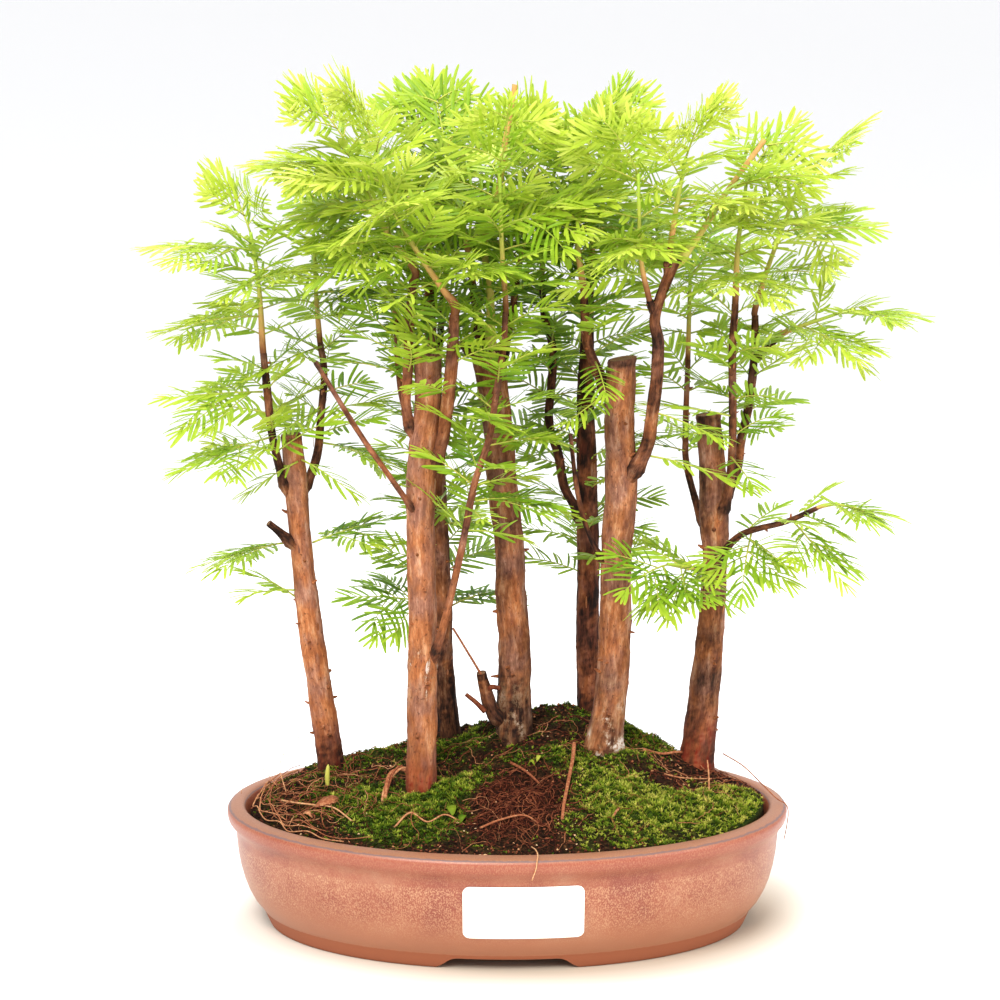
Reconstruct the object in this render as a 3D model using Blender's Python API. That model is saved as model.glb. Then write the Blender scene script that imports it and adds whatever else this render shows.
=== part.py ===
"""Dawn redwood forest bonsai: seven cut-back trunks with leafy stems in an oval glazed tray.

Metres, +Z up. +X is to the right and -Y to the front. Lengths below are in millimetres, and
mm() turns them to metres. The origin is the middle of the whole tree's footprint, on the ground.
"""

import math
import random
from dataclasses import dataclass

import bmesh
import bpy
from mathutils import Matrix, Vector
from mathutils.bvhtree import BVHTree

# Tray
TRAY_HALF_LENGTH = 150.0
TRAY_HALF_DEPTH = 102.0
TRAY_SEGMENTS = 36
# How far each ring of the wall lies inside the rim's outer line, and its height
TRAY_OUTSIDE = (
    (2.0, 64.2), (0.0, 61.5), (0.8, 57.5), (4.6, 51.0), (7.2, 32.0), (10.0, 21.5), (17.0, 10.5), (22.0, 0.0),
)
TRAY_UNDERSIDE = ((30.0, 0.0), (31.0, 9.0))
TRAY_INSIDE = ((26.0, 17.5), (16.0, 27.0), (12.5, 57.0), (9.5, 65.8))
FOOT_GAP_FRONT = (74.0, 54.0)  # width at the ground and at the top
FOOT_GAP_END = (40.0, 26.0)
FOOT_GAP_HEIGHT = 6.5
DRAIN_X = 62.0
DRAIN_RADIUS = 11.0
DRAIN_SEGMENTS = 12
DRAIN_CUT_DEPTH = 20.0
DRAIN_CUT_HEIGHT = 13.0

# Drain screens: thin plates with square holes, which keep the soil in
SCREEN_SIDE = 34.0
SCREEN_THICKNESS = 1.2
SCREEN_HOLES = 2
SCREEN_PITCH = 11.0
SCREEN_HOLE = 8.0

# Blank label on the front wall
LABEL_WIDTH = 61.0
LABEL_LOW = 21.0
LABEL_HIGH = 50.0
LABEL_CENTRE_X = 8.0
LABEL_THICKNESS = 0.6
LABEL_COLUMNS = 8
LABEL_ROWS = 3

# Soil mound
SOIL_EDGE = 62.0
SOIL_CREST = 82.0
SOIL_CREST_RISE = 22.0
SOIL_CREST_X = 35.0
SOIL_CREST_WIDTH = 55.0
SOIL_RING_SHARES = (0.95, 0.86, 0.72, 0.55, 0.36, 0.17)

# Pieces that don't grow from one another stand this far apart
GAP = 0.35
TRUNK_SIDES = 8
BRANCH_SIDES = 6
TWIG_SIDES = 4
TWIG_RADIUS = 1.7

# Needles and their ribs
NEEDLE_LENGTH = 15.0
NEEDLE_WIDTH = 2.0
NEEDLE_FORWARD = (62.0, 22.0)  # angle to the rib at its foot, and how much less it is at its tip
NEEDLE_DROOP = 0.12
END_NEEDLE_SHARE = 0.75
RIB_HALF_WIDTH = 0.75
RIB_HALF_THICKNESS = 0.5
MAIN_BARE = 0.42
SIDE_BARE = 0.34
MAIN_PAIRS = 3
SIDE_PAIRS = 2
SIDE_SHARE = 0.62
SIDE_ANGLE = 56.0
SIDE_PLACES = ((-1, 0.25), (1, 0.35))  # side of the main rib, and how far along it the side rib starts
RIB_END = 0.97  # share of a rib at which its last pair of needles may stand
DROOP = 0.16
SPRAY_SIZES = (0.94, 1.04)
SPRAY_ROLL = 30.0
SIDE_ROLL = 14.0
ROOT_DEPTH = 1.2  # how deep an end spray is rooted in its shoot

# A spray that would meet another piece is turned about its stem by these angles in turn
TURNS = (0, 18, -18, 36, -36, 54, -54, 75, -75, 100, -100, 130, -130, 160)
TURN_LIFT = 0.12  # extra rise for each degree of turn


@dataclass(frozen=True)
class Spray:
    """A flat spray of needles: where along its stem it grows, which way it points and its length."""

    at: float
    heading: float
    rise: float
    length: float


@dataclass(frozen=True)
class Stem:
    """A woody stem of (x, y, z, radius) points, the green shoot that goes on from it, and their sprays."""

    name: str
    wood: tuple
    green: tuple = ()
    sprays: tuple = ()
    side_sprays: tuple = ()


# Each tree is its trunk, which starts in the soil, and the stems that grow from it.
TREES = {
    "tree_1": (
        Stem(
            "trunk_1",
            ((-92, 25, 42, 7.0), (-96.5, 25, 82, 7.2), (-101, 25, 115, 6.8), (-107, 23, 162, 6.4),
             (-111, 21, 207, 5.8), (-113, 20, 240, 6.1), (-115, 20, 261, 5.3)),
            side_sprays=(Spray(0.735, 182, -6, 46), Spray(0.72, 12, 20, 48)),
        ),
        Stem(
            "stem_1_left",
            ((-116, 19, 226, 2.6), (-120, 16, 240, 2.4), (-124, 11, 262, 2.1), (-126, 10, 284, 2.1),
             (-128, 12, 305, 1.8)),
            ((-130, 14, 340, 1.2), (-134, 16, 368, 0.9)),
            (
                Spray(1.0, 140, 66, 46), Spray(0.85, 186, 10, 56), Spray(0.6, 285, 15, 46),
                Spray(0.3, 200, 4, 52),
            ),
            (Spray(0.75, 172, -2, 50), Spray(0.45, 214, -8, 48)),
        ),
        Stem(
            "stem_1_right",
            ((-109, 24, 228, 2.6), (-102, 29, 248, 2.4), (-100, 34, 268, 2.1), (-98, 36, 291, 1.9),
             (-100, 37, 308, 1.6)),
            ((-102, 39, 335, 1.2), (-103, 40, 366, 0.9)),
            (Spray(1.0, 60, 68, 44), Spray(0.7, 70, 20, 46), Spray(0.45, 335, 8, 44)),
            (Spray(0.35, 350, -6, 44),),
        ),
        Stem("stub_1", ((-111, 20, 197, 3.0), (-120, 17, 207, 2.4), (-127, 14, 214, 1.8))),
    ),
    "tree_2": (
        Stem(
            "trunk_2",
            ((-46, -11, 42, 8.0), (-45.5, -11, 84, 8.2), (-45, -11, 121, 7.8), (-44.5, -12, 160, 7.5),
             (-45, -13.5, 205, 7.3), (-45, -14, 244, 7.6), (-41, -15, 279, 7.1), (-41, -15, 311, 7.2)),
        ),
        Stem(
            "stem_2_right",
            ((-41, -14, 240, 3.6), (-34, -19, 262, 3.3), (-31, -22, 281, 3.3), (-28, -24, 309, 3.2),
             (-27, -26, 329, 2.4)),
            ((-34, -29, 344, 1.6), (-50, -34, 369, 1.3), (-60, -36, 391, 1.1), (-66, -38, 414, 0.8)),
            (
                Spray(1.0, 215, 66, 44), Spray(0.8, 165, 22, 50), Spray(0.6, 262, 18, 50),
                Spray(0.3, 330, 6, 50),
            ),
        ),
        Stem(
            "stem_2_left",
            ((-46, -14, 258, 3.0), (-52, -17, 279, 2.6), (-51, -19, 299, 2.6), (-50, -18, 325, 2.5),
             (-48, -16, 347, 2.0)),
            ((-62, -14, 371, 1.4), (-74, -11, 396, 1.1), (-81, -10, 414, 0.8)),
            (
                Spray(1.0, 165, 58, 48), Spray(0.8, 192, 14, 54), Spray(0.5, 140, 12, 48),
                Spray(0.3, 228, 2, 48),
            ),
        ),
        Stem(
            "stem_2_outer",
            ((-49, -9, 266, 1.8), (-55, -4, 284, 1.4), (-57, 0, 303, 1.4), (-58, 4, 323, 1.3)),
            ((-64, 10, 352, 1.0),),
            (Spray(1.0, 150, 34, 46),),
        ),
        Stem(
            "twig_2",
            ((-46, -16, 222, 1.8), (-53, -22, 234, 1.5), (-75, -30, 268, 1.4), (-97, -36, 306, 1.2)),
        ),
        Stem(
            "stem_2_low",
            ((-42, -12, 138, 2.6), (-34, -20, 163, 2.1), (-28, -24, 188, 1.9), (-22, -26, 216, 1.9),
             (-17, -27, 242, 1.8), (-9, -27, 267, 1.8), (-6, -27, 287, 1.8), (-2, -25, 313, 1.6),
             (-1, -23, 330, 1.5)),
            ((-3, -20, 366, 1.2), (-4, -18, 402, 0.9)),
            (Spray(1.0, 290, 62, 46), Spray(0.6, 345, 18, 50)),
            (Spray(0.5, 20, 5, 42),),
        ),
    ),
    "tree_3": (
        Stem(
            "trunk_3",
            ((-30, 58, 55, 6.2), (-33.5, 58, 97, 6.3), (-36, 58, 130, 6.0), (-36, 57, 157, 5.8),
             (-38, 55, 208, 5.5), (-39, 54, 247, 4.9), (-41, 52, 300, 3.6), (-42, 50, 345, 2.2)),
            ((-43, 49, 385, 1.3), (-45, 48, 412, 0.9)),
            (Spray(1.0, 110, 68, 44), Spray(0.6, 178, 18, 50), Spray(0.2, 60, 12, 48)),
            (Spray(0.36, 186, 14, 46), Spray(0.35, 350, 8, 42)),
        ),
        Stem(
            "stem_3_back",
            ((-40, 54, 270, 2.6), (-37, 64, 300, 1.9), (-35, 70, 330, 1.5)),
            ((-31, 76, 365, 1.1), (-29, 80, 400, 0.8)),
            (Spray(1.0, 60, 40, 48),),
        ),
    ),
    "tree_4": (
        Stem(
            "trunk_4",
            ((4, 33, 55, 9.2), (4, 33, 99, 9.6), (4, 33, 121, 9.2), (4, 33, 147, 8.7), (2, 32, 173, 8.3),
             (1, 31, 199, 7.9), (-3, 30, 237, 8.2), (-5, 30, 265, 8.0), (-9, 30, 293, 8.4),
             (-11, 30, 307, 8.0)),
        ),
        Stem("knob_4", ((-9, 29, 296, 4.6), (-23, 26, 310, 3.4))),
        Stem(
            "stem_4_left",
            ((-12, 31, 298, 3.4), (-16, 32, 323, 2.4), (-19, 33, 345, 1.8)),
            ((-25, 35, 380, 1.3), (-33, 37, 410, 0.9)),
            (Spray(1.0, 110, 72, 46), Spray(0.55, 80, 14, 48)),
        ),
        Stem(
            "stem_4_tall",
            ((-9, 27, 298, 3.4), (-9, 22, 337, 2.1), (-12, 20, 362, 1.7), (-5, 18, 388, 1.6),
             (-1, 17, 415, 1.5), (4, 16, 444, 1.3)),
            side_sprays=(Spray(0.8, 5, 22, 48), Spray(0.55, 262, 14, 48)),
        ),
        Stem(
            "stem_4_right",
            ((-6, 32, 288, 3.4), (2, 37, 320, 2.1), (5, 39, 341, 1.8)),
            ((9, 40, 362, 1.4), (14, 42, 398, 0.9)),
            (Spray(1.0, 50, 62, 46), Spray(0.65, 358, 14, 50), Spray(0.3, 320, 4, 48)),
        ),
        Stem("stump_4", ((0, 31, 96, 3.8), (-8, 27, 108, 3.8), (-12, 24, 121, 3.4), (-14, 22, 130, 2.6))),
    ),
    "tree_5": (
        Stem(
            "trunk_5",
            ((47, 64, 62, 6.8), (46, 64, 107, 6.8), (45, 62, 157, 6.4), (45, 61, 188, 6.1),
             (44, 60, 233, 5.7), (43, 60, 274, 4.8), (44, 60, 312, 3.2), (45, 60, 340, 2.2)),
            ((48, 60, 382, 1.3), (50, 60, 410, 0.9)),
            (Spray(1.0, 60, 64, 44), Spray(0.6, 95, 15, 48), Spray(0.25, 15, 6, 48)),
        ),
        Stem(
            "stem_5_left",
            ((43, 60, 200, 3.2), (37, 54, 216, 2.6), (31, 52, 228, 2.5), (28, 52, 245, 2.5),
             (23, 52, 264, 2.4), (25, 53, 300, 2.2), (20, 54, 321, 2.0), (19, 56, 340, 1.6)),
            ((22, 62, 378, 1.2), (27, 65, 404, 0.9)),
            (Spray(1.0, 130, 60, 44), Spray(0.5, 335, 10, 46)),
        ),
    ),
    "tree_6": (
        Stem(
            "trunk_6",
            ((49, 12, 50, 9.0), (52.5, 12, 94, 9.4), (55, 12, 112, 8.9), (57, 11, 139, 8.6),
             (58, 10, 169, 8.4), (58, 9, 198, 8.2), (60, 8, 227, 8.5), (60, 8, 249, 8.2),
             (59, 7, 270, 7.9), (60, 6, 303, 7.4)),
        ),
        Stem(
            "stem_6_left",
            ((55, 8, 280, 3.6), (44, 10, 304, 2.7), (41, 8, 319, 2.6), (40, 6, 334, 2.0)),
            ((36, 2, 370, 1.3), (41, -1, 404, 0.9)),
            (Spray(1.0, 275, 62, 46), Spray(0.5, 290, 4, 48)),
        ),
        Stem(
            "stem_6_right",
            ((62, 5, 235, 4.2), (73, 0, 257, 3.8), (75, -4, 272, 3.4), (77, -6, 289, 3.4),
             (78, -8, 312, 3.1), (76, -10, 327, 2.8), (84, -12, 351, 2.8), (88, -12, 358, 2.6)),
        ),
        Stem(
            "twig_6_cut",
            ((82, -12, 347, 2.4), (99, -8, 369, 1.6), (112, -2, 389, 1.4), (132, 4, 416, 1.3)),
            side_sprays=(Spray(0.65, 330, 18, 46),),
        ),
        Stem(
            "stem_6_up",
            ((81, -12, 345, 2.0), (83, -15, 362, 1.6)),
            ((86, -17, 384, 1.2), (90, -19, 408, 0.9)),
            (Spray(1.0, 300, 62, 46), Spray(0.45, 345, 10, 48)),
        ),
        Stem(
            "stem_6_mid",
            ((78, -8, 318, 2.2), (73, -12, 335, 1.6)),
            ((68, -15, 358, 1.2), (66, -21, 400, 0.9)),
            (Spray(1.0, 245, 56, 46), Spray(0.45, 262, 4, 48)),
        ),
        Stem(
            "twig_6_thin",
            ((54, 7, 190, 1.8), (44, 4, 208, 1.4), (37, 2, 232, 1.3), (33, 0, 264, 1.1)),
            side_sprays=(Spray(0.9, 200, 25, 40),),
        ),
    ),
    "tree_7": (
        Stem(
            "trunk_7",
            ((101, 27, 44, 8.6), (104.5, 27, 88, 9.0), (106, 27, 105, 8.6), (109, 26, 135, 7.9),
             (111, 26, 165, 7.1), (112, 25, 195, 6.8), (111, 25, 217, 8.0), (110, 24, 239, 7.2),
             (107, 24, 271, 6.4)),
        ),
        Stem(
            "stem_7_near",
            ((112, 22, 210, 3.0), (117, 16, 226, 2.5), (119, 14, 248, 2.2), (119, 12, 270, 2.1),
             (118, 10, 305, 2.1), (119, 10, 331, 1.8)),
            ((120, 10, 362, 1.3), (124, 10, 396, 0.9)),
            (Spray(1.0, 30, 58, 46), Spray(0.6, 310, 10, 48), Spray(0.25, 260, 0, 46)),
        ),
        Stem(
            "stem_7_far",
            ((113, 26, 214, 3.0), (124, 34, 240, 2.5), (126, 38, 254, 2.4), (130, 40, 273, 2.4),
             (133, 42, 302, 2.2), (133, 42, 322, 1.8)),
            ((140, 41, 350, 1.3), (149, 39, 376, 1.1), (156, 38, 396, 0.9)),
            (Spray(1.0, 5, 46, 48), Spray(0.6, 345, 10, 48), Spray(0.3, 40, 4, 48)),
        ),
        Stem(
            "stem_7_left",
            ((106, 31, 208, 2.2), (98, 44, 238, 1.8), (97, 48, 257, 1.7), (98, 52, 297, 1.5)),
            ((99, 56, 345, 0.9),),
            (Spray(1.0, 110, 35, 46),),
        ),
        Stem(
            "stem_7_right",
            ((131, 41, 296, 2.2), (145, 35, 311, 1.5)),
            ((158, 30, 318, 1.1), (176, 25, 325, 0.8)),
            (Spray(1.0, 352, 6, 44), Spray(0.4, 300, -8, 44)),
        ),
        Stem(
            "stem_7_low",
            ((110, 22, 188, 2.8), (123, 4, 209, 1.8), (146, -4, 218, 1.5), (162, -8, 226, 1.2)),
            ((172, -11, 229, 0.9),),
            (Spray(1.0, 350, -8, 26),),
            (Spray(0.8, 300, -26, 40), Spray(0.5, 255, -24, 40)),
        ),
        Stem(
            "stem_7_front",
            ((110, 20, 184, 2.2), (99, 4, 191, 1.4)),
            ((84, -7, 196, 0.9),),
            (Spray(1.0, 190, -4, 40), Spray(0.3, 252, -18, 40)),
        ),
    ),
}


def mm(value):
    """Metres from millimetres."""
    return value * 0.001


def material(name, colour, roughness, metallic=0.0):
    made = bpy.data.materials.new(name)
    made.use_nodes = True
    shader = made.node_tree.nodes["Principled BSDF"]
    shader.inputs["Base Color"].default_value = (*colour, 1.0)
    shader.inputs["Roughness"].default_value = roughness
    shader.inputs["Metallic"].default_value = metallic
    made.diffuse_color = (*colour, 1.0)
    return made


def object_of(bm, name, collection, finish=None):
    """A new object from a bmesh, its faces pointing out."""
    bmesh.ops.recalc_face_normals(bm, faces=bm.faces)
    mesh = bpy.data.meshes.new(name)
    bm.to_mesh(mesh)
    bm.free()
    made = bpy.data.objects.new(name, mesh)
    if finish:
        mesh.materials.append(finish)
    collection.objects.link(made)
    return made


def evaluated_mesh(obj):
    bpy.context.view_layer.update()
    return bpy.data.meshes.new_from_object(obj.evaluated_get(bpy.context.evaluated_depsgraph_get()))


def loft(bm, rings, closed=True):
    """Quads between rings of the same number of points; an open loft is capped at both ends."""
    made = [[bm.verts.new(point) for point in ring] for ring in rings]
    pairs = list(zip(made, made[1:]))
    if closed:
        pairs.append((made[-1], made[0]))
    for low, high in pairs:
        for i in range(len(low)):
            k = (i + 1) % len(low)
            bm.faces.new((low[i], low[k], high[k], high[i]))
    if not closed:
        bm.faces.new(made[0])
        bm.faces.new(made[-1])
    return made


def oval(inset, height, segments=TRAY_SEGMENTS):
    """A level ring that lies a set distance inside the rim's outer line."""
    ring = []
    for i in range(segments):
        angle = math.tau * i / segments
        ring.append(
            Vector((
                mm((TRAY_HALF_LENGTH - inset) * math.cos(angle)),
                mm((TRAY_HALF_DEPTH - inset) * math.sin(angle)),
                mm(height),
            ))
        )
    return ring


def cut(target, cutter):
    """Takes the cutter's shape out of the target for good."""
    modifier = target.modifiers.new("Cut " + cutter.name, "BOOLEAN")
    modifier.operation = "DIFFERENCE"
    modifier.object = cutter
    old = target.data
    target.data = evaluated_mesh(target)
    target.modifiers.clear()
    bpy.data.meshes.remove(old)


def hide_cutter(cutter):
    cutter.hide_render = True
    cutter.display_type = "WIRE"


def prism(name, outline, direction, half_length, collection):
    """A bar whose section is a list of (across, height) points, run along X or Y."""
    bm = bmesh.new()
    rings = []
    for end in (-half_length, half_length):
        if direction == "X":
            rings.append([Vector((mm(end), mm(a), mm(h))) for a, h in outline])
        else:
            rings.append([Vector((mm(a), mm(end), mm(h))) for a, h in outline])
    loft(bm, rings, closed=False)
    return object_of(bm, name, collection)


def foot_gap(name, widths, direction, collection):
    low, high = widths[0] / 2, widths[1] / 2
    slope = (low - high) / FOOT_GAP_HEIGHT
    outline = ((-low - slope, -1.0), (low + slope, -1.0), (high, FOOT_GAP_HEIGHT), (-high, FOOT_GAP_HEIGHT))
    return prism(name, outline, direction, TRAY_HALF_LENGTH + 5.0, collection)


def make_tray(collection, cutters, finish):
    """The oval tray: a lofted wall and floor, cut to four feet and two drain holes."""
    bm = bmesh.new()
    profile = TRAY_UNDERSIDE[::-1] + TRAY_OUTSIDE[::-1] + TRAY_INSIDE[::-1]
    rings = [oval(inset, height) for inset, height in profile]
    loft(bm, rings, closed=False)
    tray = object_of(bm, "tray", collection, finish)
    gaps = [
        foot_gap("foot_gap_front_and_back", FOOT_GAP_FRONT, "Y", cutters),
        foot_gap("foot_gap_ends", FOOT_GAP_END, "X", cutters),
    ]
    for side, x in (("left", -DRAIN_X), ("right", DRAIN_X)):
        bm = bmesh.new()
        bmesh.ops.create_cone(
            bm,
            cap_ends=True,
            segments=DRAIN_SEGMENTS,
            radius1=mm(DRAIN_RADIUS),
            radius2=mm(DRAIN_RADIUS),
            depth=mm(DRAIN_CUT_DEPTH),
            matrix=Matrix.Translation((mm(x), 0.0, mm(DRAIN_CUT_HEIGHT))),
        )
        gaps.append(object_of(bm, "drain_hole_" + side, cutters))
    for gap in gaps:
        hide_cutter(gap)
        cut(tray, gap)
    return tray


def wall_inset(height):
    """How far the outer wall lies inside the rim's line at a height."""
    for (inset_a, high), (inset_b, low) in zip(TRAY_OUTSIDE, TRAY_OUTSIDE[1:]):
        if low <= height <= high:
            return inset_a + (inset_b - inset_a) * (high - height) / (high - low)
    return 0.0


def make_label(collection, finish):
    """The blank label, a thin plate that follows the front wall with its upper and lower edges level."""
    bm = bmesh.new()
    rings = []
    for column in range(LABEL_COLUMNS + 1):
        x = LABEL_CENTRE_X + LABEL_WIDTH * (column / LABEL_COLUMNS - 0.5)
        front, back = [], []
        for row in range(LABEL_ROWS + 1):
            height = LABEL_LOW + (LABEL_HIGH - LABEL_LOW) * row / LABEL_ROWS
            inset = wall_inset(height)
            share = x / (TRAY_HALF_LENGTH - inset)
            y = -(TRAY_HALF_DEPTH - inset) * math.sqrt(1 - share * share)
            front.append(Vector((mm(x), mm(y - 0.9 * GAP - LABEL_THICKNESS), mm(height))))
            back.append(Vector((mm(x), mm(y - 0.9 * GAP), mm(height))))
        rings.append(front + back[::-1])
    loft(bm, rings, closed=False)
    return object_of(bm, "blank_label", collection, finish)


def make_screens(collection, cutters, finish):
    """A plate with a grid of square holes over each drain hole."""
    for side, x in (("left", -DRAIN_X), ("right", DRAIN_X)):
        bm = bmesh.new()
        size = (mm(SCREEN_SIDE), mm(SCREEN_SIDE), mm(SCREEN_THICKNESS))
        place = Vector((mm(x), 0.0, mm(TRAY_INSIDE[0][1] + GAP + SCREEN_THICKNESS / 2)))
        bmesh.ops.create_cube(bm, matrix=Matrix.Translation(place) @ Matrix.Diagonal((*size, 1.0)))
        screen = object_of(bm, "drain_screen_" + side, collection, finish)
        bm = bmesh.new()
        hole = (mm(SCREEN_HOLE), mm(SCREEN_HOLE), mm(5 * SCREEN_THICKNESS))
        for i in range(SCREEN_HOLES):
            for k in range(SCREEN_HOLES):
                middle = (SCREEN_HOLES - 1) / 2
                shift = Vector((mm(SCREEN_PITCH * (i - middle)), mm(SCREEN_PITCH * (k - middle)), 0.0))
                spot = Matrix.Translation(place + shift)
                bmesh.ops.create_cube(bm, matrix=spot @ Matrix.Diagonal((*hole, 1.0)))
        holes = object_of(bm, "screen_holes_" + side, cutters)
        hide_cutter(holes)
        cut(screen, holes)


def soil_height(x, y):
    """Height of the mound in millimetres: it rises to the back and to a crest right of the middle."""
    inset = TRAY_INSIDE[2][0]
    edge = math.hypot(x / (TRAY_HALF_LENGTH - inset), y / (TRAY_HALF_DEPTH - inset))
    crest = SOIL_CREST + SOIL_CREST_RISE * math.exp(-(((x - SOIL_CREST_X) / SOIL_CREST_WIDTH) ** 2))
    slope = 0.68 + 0.0062 * y
    lumps = 1.6 * math.sin(0.11 * x + 0.6) * math.cos(0.13 * y) + 1.1 * math.sin(0.23 * y - 0.17 * x)
    return SOIL_EDGE + ((crest - SOIL_EDGE) * slope + lumps) * max(0.0, 1 - edge**6)


def make_soil(collection, cutters, finish, trunks):
    """The soil fills the tray and mounds up, with a plain hole for each trunk and a seat for each screen."""
    bm = bmesh.new()
    (floor_inset, floor_height), (low_inset, low_height), (wall_inset_high, wall_height), _ = TRAY_INSIDE
    rings = [
        oval(floor_inset + 4.3 * GAP, floor_height + GAP),
        oval(low_inset + 1.6 * GAP, low_height + GAP),
        oval(wall_inset_high + 1.6 * GAP, wall_height),
        oval(wall_inset_high + 1.2 * GAP, SOIL_EDGE),
    ]
    for share in SOIL_RING_SHARES:
        ring = []
        for point in oval(wall_inset_high, 0.0):
            x, y = 1000 * share * point.x, 1000 * share * point.y
            ring.append(Vector((mm(x), mm(y), mm(soil_height(x, y)))))
        rings.append(ring)
    made = loft(bm, rings, closed=False)
    cap = [face for face in bm.faces if set(face.verts) == set(made[-1])]
    middle = bmesh.ops.poke(bm, faces=cap)["verts"][0]
    middle.co = Vector((0.0, 0.0, mm(soil_height(0.0, 0.0))))
    soil = object_of(bm, "soil", collection, finish)
    for trunk in trunks:
        foot, top = Vector(trunk.wood[0][:3]), Vector(trunk.wood[1][:3])
        along = (top - foot).normalized()
        radius = max(trunk.wood[0][3], trunk.wood[1][3]) + 1.1 * GAP
        low, high = foot - along * GAP, top + along * 30.0
        hole = tube("hole_" + trunk.name, ((*low, radius), (*high, radius)), TRUNK_SIDES, cutters)
        hide_cutter(hole)
        cut(soil, hole)
    seats = bmesh.new()
    for x in (-DRAIN_X, DRAIN_X):
        side = mm(SCREEN_SIDE + 2 * GAP)
        size = (side, side, mm(2 * (SCREEN_THICKNESS + 2 * GAP)))
        place = Matrix.Translation((mm(x), 0.0, mm(TRAY_INSIDE[0][1])))
        bmesh.ops.create_cube(seats, matrix=place @ Matrix.Diagonal((*size, 1.0)))
    seat = object_of(seats, "screen_seats", cutters)
    hide_cutter(seat)
    cut(soil, seat)
    return soil


def tube(name, points, sides, collection):
    """A closed tube through (x, y, z, radius) points, from a curve with a round bevel and filled caps."""
    curve = bpy.data.curves.new(name, "CURVE")
    curve.dimensions = "3D"
    curve.bevel_depth = 0.001
    curve.bevel_resolution = sides // 2 - 2
    curve.use_fill_caps = True
    line = curve.splines.new("POLY")
    line.points.add(len(points) - 1)
    for spot, (x, y, z, radius) in zip(line.points, points):
        spot.co = (mm(x), mm(y), mm(z), 1.0)
        spot.radius = radius
    drawn = bpy.data.objects.new(name + "_curve", curve)
    collection.objects.link(drawn)
    mesh = evaluated_mesh(drawn)
    bpy.data.objects.remove(drawn)
    bpy.data.curves.remove(curve)
    bm = bmesh.new()
    bm.from_mesh(mesh)
    bpy.data.meshes.remove(mesh)
    bmesh.ops.remove_doubles(bm, verts=bm.verts, dist=1e-6)
    return object_of(bm, name, collection)


def fuse(name, pieces, collection, finish):
    """Joins overlapping pieces to one body by a single Boolean union on their collection."""
    group = bpy.data.collections.new(name + "_pieces")
    bpy.context.scene.collection.children.link(group)
    for piece in pieces[1:]:
        for home in list(piece.users_collection):
            home.objects.unlink(piece)
        group.objects.link(piece)
    body = pieces[0]
    if len(pieces) > 1:
        modifier = body.modifiers.new("Join", "BOOLEAN")
        modifier.operation = "UNION"
        modifier.solver = "MANIFOLD"
        modifier.operand_type = "COLLECTION"
        modifier.collection = group
    mesh = evaluated_mesh(body)
    mesh.materials.clear()
    mesh.materials.append(finish)
    for piece in pieces:
        bpy.data.objects.remove(piece)
    bpy.data.collections.remove(group)
    mesh.name = name
    made = bpy.data.objects.new(name, mesh)
    collection.objects.link(made)
    return made


def sides_for(points):
    widest = max(point[3] for point in points)
    if widest > 5.0:
        return TRUNK_SIDES
    return BRANCH_SIDES if widest > TWIG_RADIUS else TWIG_SIDES


def along(points, share):
    """The place and direction a share of the way along a line of points, in metres, and the radius there."""
    places = [Vector(point[:3]) for point in points]
    lengths = [(b - a).length for a, b in zip(places, places[1:])]
    left = share * sum(lengths)
    for i, length in enumerate(lengths):
        if left <= length or i == len(lengths) - 1:
            part = min(1.0, left / length)
            radius = points[i][3] + (points[i + 1][3] - points[i][3]) * part
            way = (places[i + 1] - places[i]).normalized()
            return places[i].lerp(places[i + 1], part) * 0.001, way, radius
        left -= length
    raise ValueError("share is over 1")


def direction(heading, rise):
    heading, rise = math.radians(heading), math.radians(rise)
    return Vector((math.cos(heading) * math.cos(rise), math.sin(heading) * math.cos(rise), math.sin(rise)))


def rib_line(start, heading, length):
    """A function that gives the place and direction at a share of a rib that bows down to its tip."""

    def at(share):
        place = start + heading * (length * share) - Vector((0, 0, DROOP * length * share * share))
        way = (heading - Vector((0, 0, 2 * DROOP * share))).normalized()
        return place, way

    return at


def add_frond(bm, start, heading, face, length, bare, pairs):
    """A rib with opposite needles: a three-sided bar, its upper faces and its end drawn out to points."""
    at = rib_line(start, heading, length)
    slots = []
    for pair in range(pairs):
        middle = bare + (RIB_END - bare) * (pair + 0.5) / pairs
        half = 0.5 * mm(NEEDLE_WIDTH) / length
        slots.append((middle - half, middle + half))
    shares = [0.0] + [edge for slot in slots for edge in slot] + [1.0]
    rings = []
    for share in shares:
        place, way = at(share)
        across = way.cross(face).normalized()
        over = across.cross(way)
        thin = 1.0 - 0.4 * share
        width, depth = across * mm(RIB_HALF_WIDTH * thin), over * mm(RIB_HALF_THICKNESS * (1.0 - 0.2 * share))
        rings.append([place - width - depth, place + width - depth, place + depth])
    made = loft(bm, rings, closed=False)
    for index, (low, high) in enumerate(slots):
        share = (low + high) / 2
        place, way = at(share)
        across = way.cross(face).normalized()
        over = across.cross(way)
        reach = mm(NEEDLE_LENGTH) * (0.8 + 0.25 * math.sin(math.pi * (index + 0.5) / pairs))
        swing = math.radians(NEEDLE_FORWARD[0] - NEEDLE_FORWARD[1] * share)
        ring_a, ring_b = made[1 + 2 * index], made[2 + 2 * index]
        for side, (i, k) in ((1.0, (1, 2)), (-1.0, (2, 0))):
            corners = {ring_a[i], ring_a[k], ring_b[i], ring_b[k]}
            wall = next(found for found in ring_a[i].link_faces if set(found.verts) == corners)
            tip = bmesh.ops.poke(bm, faces=[wall])["verts"][0]
            turned = way * math.cos(swing) + across * (side * math.sin(swing)) - over * NEEDLE_DROOP
            tip.co = place + turned * reach
    place, way = at(1.0)
    wall = next(found for found in made[-1][0].link_faces if set(found.verts) == set(made[-1]))
    tip = bmesh.ops.poke(bm, faces=[wall])["verts"][0]
    tip.co = place + way * mm(NEEDLE_LENGTH * END_NEEDLE_SHARE)


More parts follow.
